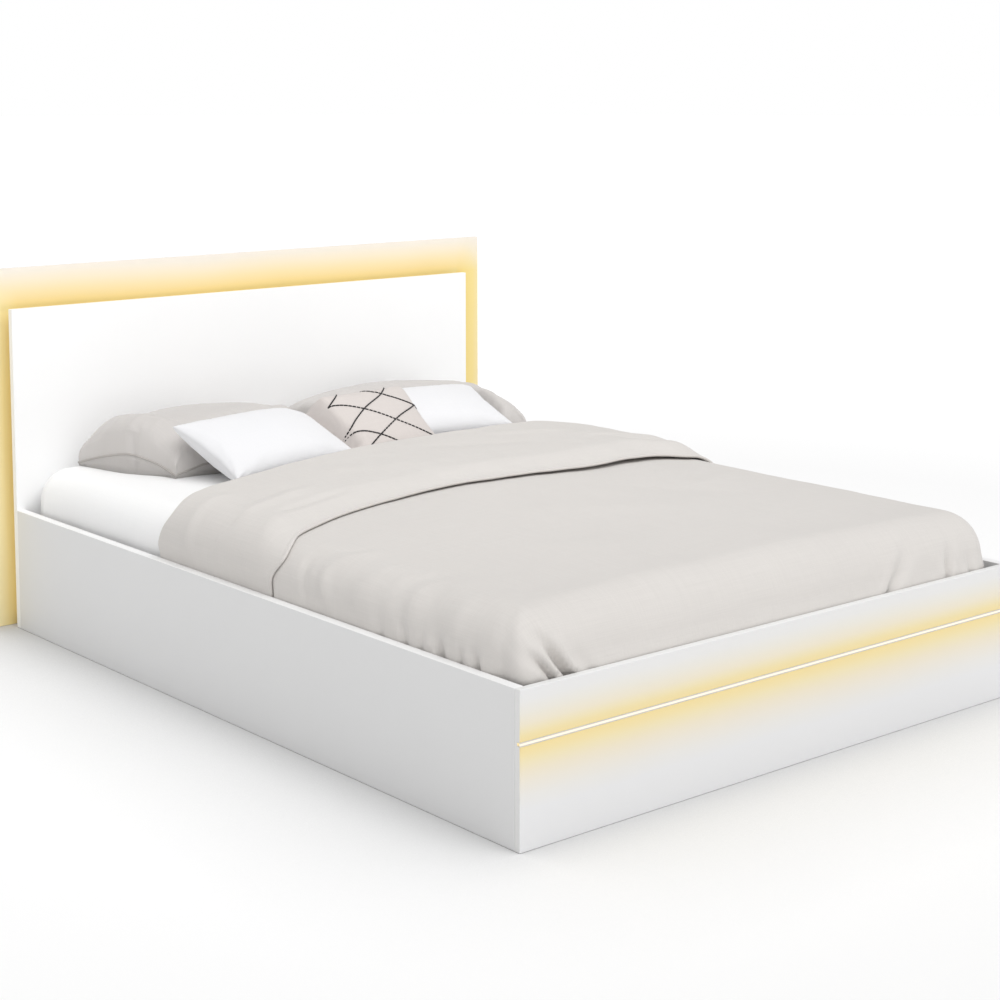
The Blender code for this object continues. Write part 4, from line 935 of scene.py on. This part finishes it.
def make_duvet(material):
    side = np.concatenate([
        np.linspace(-DUVET_HALF, -CORE_X, int(HANG / DUVET_GRID), endpoint=False),
        np.linspace(-CORE_X, CORE_X, int(2 * CORE_X / DUVET_GRID), endpoint=False),
        np.linspace(CORE_X, DUVET_HALF, int(HANG / DUVET_GRID) + 1),
    ])
    flap = HEAD_EDGE - FLAP_DEPTH - FLAP_SWEEP * edge_share(FLAP_SHARES, side)
    head = HEAD_EDGE - HEAD_SWEEP * edge_share(HEAD_SHARES, side)
    flap = flap + 0.0015 * ripple(side, side * 0, 21, 0.30)
    head = head + 0.0025 * ripple(side, side * 0, 22, 0.25)
    foot = CORE_FOOT - HANG

    def surface(along, height_of):
        across = np.broadcast_to(side, along.shape)
        place, normal, hang = duvet_base(across, along)
        return place + normal * height_of(across, along, hang)[..., None]

    def body(across, along, hang):
        height = body_height(across, along, hang)
        covered = smooth((along - flap + 0.010) / 0.012) * at_rail(hang)
        return height - np.maximum(height - BENEATH_FLAP, 0.0) * covered

    def flap_under(across, along, hang):
        lift = flap_lift(across) * (1 - 0.55 * at_rail(hang))
        closing = 1 - smooth((along - flap - 0.02) / POCKET)
        return body(across, along, hang) + np.minimum(lift, 0.0012 + lift * closing)

    def flap_top(across, along, hang):
        """Height of the flap's upper face, thinner towards its edge and over the shoulder."""
        inside = along - flap
        edge_line = np.broadcast_to(flap, along.shape)
        base = 0.5 * (body_height(across, edge_line, hang) + body_height(across, along, hang))
        loft = FLAP_LOFT + FLAP_PUFF * bell(across, 0.46, 0.22)
        loft = loft * (1 - smooth(hang / RAIL_HANG)) + FLAP_LEAST
        edge = flap_lift(across) + 2 * HEM
        rise = edge + np.maximum(loft - edge, 0.0) * smooth(inside / 0.10)
        uneven = 0.0013 * ripple(across, along, 31, 0.30) + 0.0006 * ripple(across, along, 33, 0.10)
        folds = (creases(across, along, FLAP_FOLDS) + uneven) * smooth((inside + 0.002) / 0.03)
        free = base + rise + folds - STITCH_DEPTH * bell(inside, STITCH_INSET, STITCH_WIDTH)
        return free + (FLAP_AT_RAIL - free) * at_rail(hang)

    top_rows = rows_between(foot, flap + POCKET, 190)
    under_rows = rows_between(flap + POCKET - 0.004, flap + HEM, 12)
    over_rows = rows_between(flap + HEM, head, 96, 1.15)
    bottom_rows = rows_between(head, foot, 70)
    top, under = surface(top_rows, body), surface(under_rows, flap_under)
    over = surface(over_rows, flap_top)
    bottom = surface(bottom_rows, lambda across, along, hang: 0.0 * hang)
    hem_roll = turn_over(under[-1], over[0], 8, -1.0)
    head_roll = turn_over(bottom[0], over[-1], 10, 0.8)[::-1]
    loops = np.concatenate([top, under, hem_roll, over, head_roll, bottom])
    # Rows of the flat cloth, with each stretch shifted so that they stay apart
    hem_rows, head_rows = rows_between(flap, flap + 0.02, 7), rows_between(head, head + 0.05, 9)
    stretches = ((top_rows, 0.0), (under_rows, 0.5), (hem_rows, 1.0), (over_rows, 1.0),
                 (head_rows, 1.0), (bottom_rows, 2.0))
    uvs = [np.stack([np.broadcast_to(side, rows.shape), rows + shift], -1) for rows, shift in stretches]
    count, columns = loops.shape[:2]
    points = loops.transpose(1, 0, 2).reshape(-1, 3)
    faces = bridges(0, columns, count) + [face[::-1] for face in caps(0, columns, count)]
    obj = build("duvet_cloth", points, faces, np.concatenate(uvs).transpose(1, 0, 2).reshape(-1, 2))
    finish_piece(obj, material)
    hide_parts("duvet")
    return obj


# Pillows and cushions: width, depth and loft, how far the sides draw in, and how full they are
PILLOW = dict(width=0.575, depth=0.385, loft=0.138, draw=0.060, fullness=0.15)
PLAIN = dict(width=0.420, depth=0.245, loft=0.104, draw=0.070, fullness=0.42)
LATTICED = dict(width=0.320, depth=0.235, loft=0.092, draw=0.075, fullness=0.42)
CELL = 0.0068
SEAM_LIFT, CORNER_LIFT = 0.050, 0.008
TOP_SHARE, UNDER_SHARE, CORNER_DRAW = 0.85, 1.35, 0.08
# Each cushion's form, middle, turn and lean in degrees, height above the sheet and droop of a corner
CUSHIONS = {
    "cushion_left": (PLAIN, (-0.271, HEAD_FACE - 0.446, SHEET_TOP + 0.080), 11, 25, GAP, 0.018),
    "cushion_right": (PLAIN, (0.300, HEAD_FACE - 0.358, SHEET_TOP + 0.080), -8, 19, 0.0123, 0.0),
    "cushion_patterned": (LATTICED, (0.066, HEAD_FACE - 0.459, SHEET_TOP + 0.084), 6, 42, GAP, 0.0),
}
# Each pillow's side, how far its front corner is drawn in and how full its outer end is
PILLOWS = {"pillow_left": (-1, 0.070, 0.023), "pillow_right": (1, -0.003, 0.0)}
# Each piece's fabric, material slot and tightness
PIECE_LOOKS = {
    "pillow_left": ("pillow_cotton", "greige_cotton", 0.55),
    "pillow_right": ("pillow_cotton", "greige_cotton", 0.55),
    "cushion_left": ("white_cotton_painted_shade", "white_cotton", 0.7),
    "cushion_right": ("white_cotton_painted_shade", "white_cotton", 0.7),
    "cushion_patterned": ("stitched_cotton", "stitched_cotton", 0.7),
}
PILLOW_PLACE = (0.308, HEAD_FACE - 0.231)
PILLOW_TURN = 5
DIMPLE_AT, DIMPLE_WIDTH, DIMPLE_DEPTH = -0.74, 0.10, 0.010
BULGE_AT, BULGE_WIDTH = 0.86, 0.17
END_SHARE = 0.34
LEAST_UNDER, LEAST_BODY = 0.0050, 0.0055
SEAM_RADIUS = 0.0027
INFLATE_FRAMES, INFLATE_MOST = 14, 0.006
CLOTH = dict(
    quality=5, mass=0.3, tension_stiffness=12.0, compression_stiffness=12.0, shear_stiffness=4.0,
    bending_stiffness=0.25, air_damping=4.0, shrink_min=-0.030, use_pressure=True, uniform_pressure_force=3.0,
)
FOOTPRINT_SOFTNESS = 0.008
CLEARANCE, PANEL_ROOM = 0.0010, 0.010
PRESS_REACH, PRESS_DEPTH = 0.20, 0.10
# Reach and number of the probes round a point of a pillow
PROBES = ((0.0, 1), (0.011, 6), (0.024, 8))
PROBE_SLOPE, PROBE_GAP = 0.35, 0.0012

# The patterned cushion's stitched lines as places across and up its panel, from -1 to 1
LATTICE = (
    ((-0.50, 0.94), (-0.66, 0.78), (-0.86, 0.60)),
    ((-0.86, 0.60), (-0.62, 0.52), (-0.23, 0.21), (0.21, -0.21), (0.71, -0.57), (0.90, -0.70)),
    ((0.56, 0.94), (0.21, 0.60), (-0.28, 0.32), (-0.61, 0.05), (-0.85, -0.20)),
    ((-0.85, -0.20), (-0.56, -0.28), (-0.31, -0.45), (0.05, -0.76), (0.16, -0.92)),
    ((-0.02, 0.94), (0.32, 0.59), (0.69, 0.33), (0.92, 0.18)),
    ((0.92, 0.30), (0.68, 0.14), (0.27, -0.07), (-0.31, -0.45), (-0.61, -0.66), (-0.78, -0.85)),
)
STITCH, THREAD_RADIUS, THREAD_SIDES = 0.011, 0.0020, 6
LATTICE_STEPS, LATTICE_ROUNDS, LATTICE_EDGE = 420, 400, 0.95


def tree_of(obj):
    polygons = [face.vertices[:] for face in obj.data.polygons]
    return BVHTree.FromPolygons([point.co.copy() for point in obj.data.vertices], polygons)


class Stuffed:
    """Two crowned panels that share a seam, with their places across and along the panel."""

    def __init__(self, name, form):
        self.form = form
        half_x, half_y = form["width"] / 2, form["depth"] / 2
        across, deep = round(form["width"] / CELL), round(form["depth"] / CELL)
        points, uv, shares, top, bottom = [], [], [], {}, {}
        for row in range(deep + 1):
            v = math.sin((2 * row / deep - 1) * math.pi / 2)
            for column in range(across + 1):
                u = math.sin((2 * column / across - 1) * math.pi / 2)
                x = half_x * u * (1 - form["draw"] * (1 - v * v))
                y = half_y * v * (1 - form["draw"] * (1 - u * u))
                swell = form["loft"] / 2 * max((1 - u * u) * (1 - v * v), 0.0) ** form["fullness"]
                seam = row in (0, deep) or column in (0, across)
                for side, places in ((1, top), (-1, bottom)):
                    if side < 0 and seam:
                        places[row, column] = top[row, column]
                        continue
                    places[row, column] = len(points)
                    points.append((x, y, side * swell))
                    uv.append((half_x * u, half_y * v + (1.0 if side < 0 else 0.0)))
                    shares.append((u, v, 0 if seam else side))
        faces = []
        for row in range(deep):
            for column in range(across):
                corners = ((row, column), (row, column + 1), (row + 1, column + 1), (row + 1, column))
                faces.append(tuple(top[corner] for corner in corners))
                faces.append(tuple(bottom[corner] for corner in corners)[::-1])
        self.obj = build(name + "_cloth", points, faces, uv)
        self.start = np.array(points)
        self.u, self.v, self.panel = np.array(shares).T
        self.seam = [top[0, column] for column in range(across)]
        self.seam += [top[row, across] for row in range(deep)]
        self.seam += [top[deep, column] for column in range(across, 0, -1)]
        self.seam += [top[row, 0] for row in range(deep, 0, -1)]

    @property
    def places(self):
        return read_places(self.obj)

    @places.setter
    def places(self, coordinates):
        self.obj.data.vertices.foreach_set("co", np.asarray(coordinates, np.float32).ravel())
        self.obj.data.update()

    def rubbed(self, values, rounds):
        """Values at the points, averaged with their neighbours' a few times."""
        edges = np.zeros(len(self.obj.data.edges) * 2, np.int32)
        self.obj.data.edges.foreach_get("vertices", edges)
        first, second = edges.reshape(-1, 2).T
        count = np.bincount(edges, minlength=len(values)).astype(float)
        for _ in range(rounds):
            total = np.zeros_like(values)
            np.add.at(total, first, values[second])
            np.add.at(total, second, values[first])
            values = (values + (total.T / count).T) / 2
        return values


def read_places(obj):
    coordinates = np.zeros(len(obj.data.vertices) * 3, np.float32)
    obj.data.vertices.foreach_get("co", coordinates)
    return coordinates.reshape(-1, 3).astype(float)


def inflate(pieces):
    """Settle the panels by a short cloth simulation with pressure inside, then limit how far they went."""
    for piece in pieces:
        cloth = piece.obj.modifiers.new("cloth", "CLOTH")
        for key, value in CLOTH.items():
            setattr(cloth.settings, key, value)
        cloth.settings.effector_weights.gravity = 0.0
        cloth.collision_settings.use_collision = False
        cloth.point_cache.frame_start = 1
        cloth.point_cache.frame_end = INFLATE_FRAMES
    for step in range(1, INFLATE_FRAMES + 1):
        SCENE.frame_set(step)
    graph = bpy.context.evaluated_depsgraph_get()
    for piece in pieces:
        settled = read_places(piece.obj.evaluated_get(graph))
        piece.obj.modifiers.clear()
        move = settled - piece.start
        fine = move - piece.rubbed(move, 40)
        length = np.linalg.norm(fine, axis=1)[:, None]
        piece.places = piece.start + fine * INFLATE_MOST / (INFLATE_MOST + length)
    SCENE.frame_set(1)


def tilt_of(place, turn, lean):
    turned = Matrix.Rotation(math.radians(turn), 4, "Z")
    return Matrix.Translation(place) @ turned @ Matrix.Rotation(math.radians(lean), 4, "X")


def moved(points, matrix):
    matrix = np.array(matrix)
    return points @ matrix[:3, :3].T + matrix[:3, 3]


def lay_cushion(piece, tilt, rest, droop):
    """Lean the cushion back, and press its underside flat where it stands."""
    shape = piece.places
    shape[:, 2] *= np.where(shape[:, 2] > 0, TOP_SHARE, UNDER_SHARE)
    shape[:, 2] -= droop * smooth((np.abs(piece.u) + piece.v - 0.9) / 1.1) ** 2 * (piece.u > 0)
    corner = np.maximum(piece.u, 0.0) * np.maximum(piece.v, 0.0)
    shape[:, :2] *= 1 - CORNER_DRAW * corner[:, None] ** 6
    shape = moved(shape, tilt)
    floor, soft = SHEET_TOP + rest, FOOTPRINT_SOFTNESS
    depth = shape[:, 2] - floor
    pressed = soft * np.exp(np.minimum((depth - soft) / soft, 0.0))
    shape[:, 2] = floor + np.where(depth > soft, depth, pressed)
    piece.places = shape


def press_along(piece, tree, axis, room, outer):
    """Move a piece's points along an axis until they clear another piece, its outer panel by some room."""
    points = piece.places
    push = np.zeros(len(points))
    for index, point in enumerate(points):
        start = Vector(point) + axis * PRESS_REACH
        hit, _, _, away = tree.ray_cast(start, -axis, PRESS_REACH + PRESS_DEPTH)
        if hit is not None:
            push[index] = max(0.0, PRESS_REACH - away + CLEARANCE + room * (piece.panel[index] == outer))
    push = np.maximum(push, piece.rubbed(push, 5))
    piece.places = points + np.array(axis) * push[:, None]


def lay_pillow(piece, side, drawn_in, shoulder, cushions):
    """Rest a pillow on the sheet with its corners drooping, and press it down under the cushions."""
    shape = piece.places
    u, v, upper_panel = side * piece.u, piece.v, piece.panel > 0
    seam = SEAM_LIFT - (SEAM_LIFT - CORNER_LIFT) * (np.abs(u) * np.abs(v)) ** 1.5
    upper = seam + 2 * shape[:, 2] * (1 - SEAM_LIFT / piece.form["loft"])
    lower = np.maximum(seam + 2 * shape[:, 2], GAP)
    dimple = bell(u, DIMPLE_AT, DIMPLE_WIDTH) * smooth((0.62 - np.abs(v + 0.1)) / 0.5)
    bulge = bell(u, BULGE_AT, BULGE_WIDTH) * smooth((0.98 - np.abs(v - 0.05)) / 0.5)
    upper = upper + (shoulder * bulge - DIMPLE_DEPTH * dimple) * upper_panel
    shape[:, 2] = np.where(shape[:, 2] > 0, upper, lower)
    pulled = smooth((u + 0.75) / 1.75) ** 2 * smooth((0.75 - v) / 1.75) ** 2
    shape[:, 0] -= side * drawn_in * (pulled + END_SHARE * smooth((u + 0.3) / 1.3) ** 2)
    shape[:, 1] += drawn_in * pulled
    place = (side * PILLOW_PLACE[0], PILLOW_PLACE[1], SHEET_TOP)
    shape = moved(shape, tilt_of(place, -side * PILLOW_TURN, 0))
    limit = np.full(len(shape), 9.0)
    for cushion in cushions:
        tree = tree_of(cushion.obj)
        low, high = cushion.places.min(0) - 0.03, cushion.places.max(0) + 0.03
        near = np.all((shape[:, :2] > low[:2]) & (shape[:, :2] < high[:2]), axis=1)
        for index in np.flatnonzero(near):
            x, y = shape[index, :2]
            for reach, count in PROBES:
                for angle in np.arange(count) * 2 * math.pi / count:
                    probe = (x + reach * math.cos(angle), y + reach * math.sin(angle), SHEET_TOP - 0.05)
                    hit = tree.ray_cast(probe, UP)[0]
                    if hit is not None:
                        limit[index] = min(limit[index], hit.z - PROBE_GAP + PROBE_SLOPE * reach)
    limit = np.maximum(limit, SHEET_TOP + LEAST_UNDER + LEAST_BODY * upper_panel)
    shift = np.minimum(limit - shape[:, 2], 0.0)
    shift = np.minimum(shift, piece.rubbed(shift, 5))
    shape[:, 2] = np.maximum(shape[:, 2] + shift, SHEET_TOP + GAP)
    piece.places = shape


def lattice_lines():
    """The stitched lines as many close places each, with their bends rounded."""
    steps = np.linspace(0, 1, LATTICE_STEPS)
    lines = []
    for marks in LATTICE:
        marks = np.array(marks)
        stations = np.linspace(0, 1, len(marks))
        line = np.stack([np.interp(steps, stations, marks[:, axis]) for axis in (0, 1)], -1)
        for _ in range(LATTICE_ROUNDS):
            line[1:-1] = (line[:-2] + line[2:]) / 2
        lines.append(line)
    return lines


def stitch_lattice(piece, tilt, forward, material):
    """Dark stitched lines in a loose diamond lattice over the front panel."""
    tree = tree_of(piece.obj)
    size = 0.985 * np.array((piece.form["width"], piece.form["depth"])) / 2
    points, faces = [], []
    for line in lattice_lines():
        run, travelled, last = [], 0.0, None
        for place in [*line, None]:
            hit = None
            if place is not None and np.abs(place).max() < LATTICE_EDGE:
                start = tilt @ Vector((*(size * place), 0.2))
                hit = tree.ray_cast(start, -forward, 0.4)[0]
            if hit is not None:
                spot = np.array(hit)
                travelled += np.linalg.norm(spot - last) if last is not None else 0.0
                last = spot
                run.append(spot)
            if hit is None or travelled > STITCH:
                if len(run) > 2:
                    add_thread(points, faces, run[:-1], np.array(forward))
                run, travelled = [], 0.0
                last = None if hit is None else last
    obj = build("cushion_patterned_stitches", points, faces, np.array(points)[:, :2])
    finish_piece(obj, material)


def add_thread(points, faces, run, lift):
    """One stitch: a short thread with rounded ends, half sunk in the cloth."""
    run = np.array(run) + lift * THREAD_RADIUS * 0.55
    side = unit_rows(np.cross(unit_rows(np.gradient(run, axis=0)), lift))
    first = len(points)
    for index, (place, across) in enumerate(zip(run, side)):
        size = THREAD_RADIUS * (0.45 if index in (0, len(run) - 1) else 1.0)
        for angle in np.arange(THREAD_SIDES) * 2 * math.pi / THREAD_SIDES:
            points.append(place + size * (math.cos(angle) * across + math.sin(angle) * 0.8 * lift))
    faces += bridges(first, len(run), THREAD_SIDES) + caps(first, len(run), THREAD_SIDES)


def make_pillows_and_cushions(duvet, cotton):
    pieces = {name: Stuffed(name, facts[0]) for name, facts in CUSHIONS.items()}
    cushions = list(pieces.values())
    pieces.update({name: Stuffed(name, PILLOW) for name in PILLOWS})
    inflate(list(pieces.values()))
    tilts = {}
    for name, (form, place, turn, lean, rest, droop) in CUSHIONS.items():
        tilts[name] = tilt_of(place, turn, lean)
        lay_cushion(pieces[name], tilts[name], rest, droop)
    middle, tilt = pieces["cushion_patterned"], tilts["cushion_patterned"]
    forward = (tilt.to_3x3() @ UP).normalized()
    press_along(middle, tree_of(pieces["cushion_right"].obj), forward, PANEL_ROOM, 1)
    press_along(middle, tree_of(pieces["cushion_left"].obj), -forward, PANEL_ROOM, -1)
    press_along(middle, tree_of(duvet), Vector((0.0, 1.0, 0.0)), 0.6 * PANEL_ROOM, -1)
    for name, (side, drawn_in, shoulder) in PILLOWS.items():
        lay_pillow(pieces[name], side, drawn_in, shoulder, cushions)
    for name, piece in pieces.items():
        kind, slot, fill = PIECE_LOOKS[name]
        finish_piece(piece.obj, cotton[kind])
        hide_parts(name)
        if name in PILLOWS:
            add_piping(name + "_piping", piece.places[piece.seam], SEAM_RADIUS, cotton["greige_piping"])
    stitch_lattice(middle, tilt, forward, cotton["dark_thread"])


# Each fabric's tone, threads per metre along and across, crease height and mottle
FABRICS = {
    "white_cotton": ((247, 247, 247), 620.0, 620.0, 0.0006, 0.012),
    # The cushions' white cotton is painted darker than the sheet's, as painted shade
    "white_cotton_painted_shade": ((231, 231, 233), 620.0, 620.0, 0.0006, 0.012),
    "greige_cotton": ((214, 210, 206), 620.0, 620.0, 0.0009, 0.03),
    "pillow_cotton": ((204, 200, 197), 620.0, 620.0, 0.0009, 0.03),
    "greige_piping": ((178, 173, 169), 900.0, 300.0, 0.0002, 0.03),
    "stitched_cotton": ((211, 204, 200), 420.0, 420.0, 0.0006, 0.03),
    "dark_thread": ((40, 39, 40), 1500.0, 400.0, 0.0001, 0.03),
    "mattress_ticking": ((226, 224, 219), 500.0, 250.0, 0.0006, 0.03),
    "mattress_piping": ((236, 235, 232), 900.0, 300.0, 0.0002, 0.03),
}


def make_bedding():
    cotton = {name: fabric(name, *facts) for name, facts in FABRICS.items()}
    mattress = make_mattress(cotton["mattress_ticking"], cotton["mattress_piping"])
    make_fitted_sheet(cotton["white_cotton"])
    duvet = make_duvet(cotton["greige_cotton"])
    make_pillows_and_cushions(duvet, cotton)


SCENE.view_settings.view_transform = "Standard"
make_camera()
make_world()
make_floor()
make_lights()
dress_frame()
make_bedding()
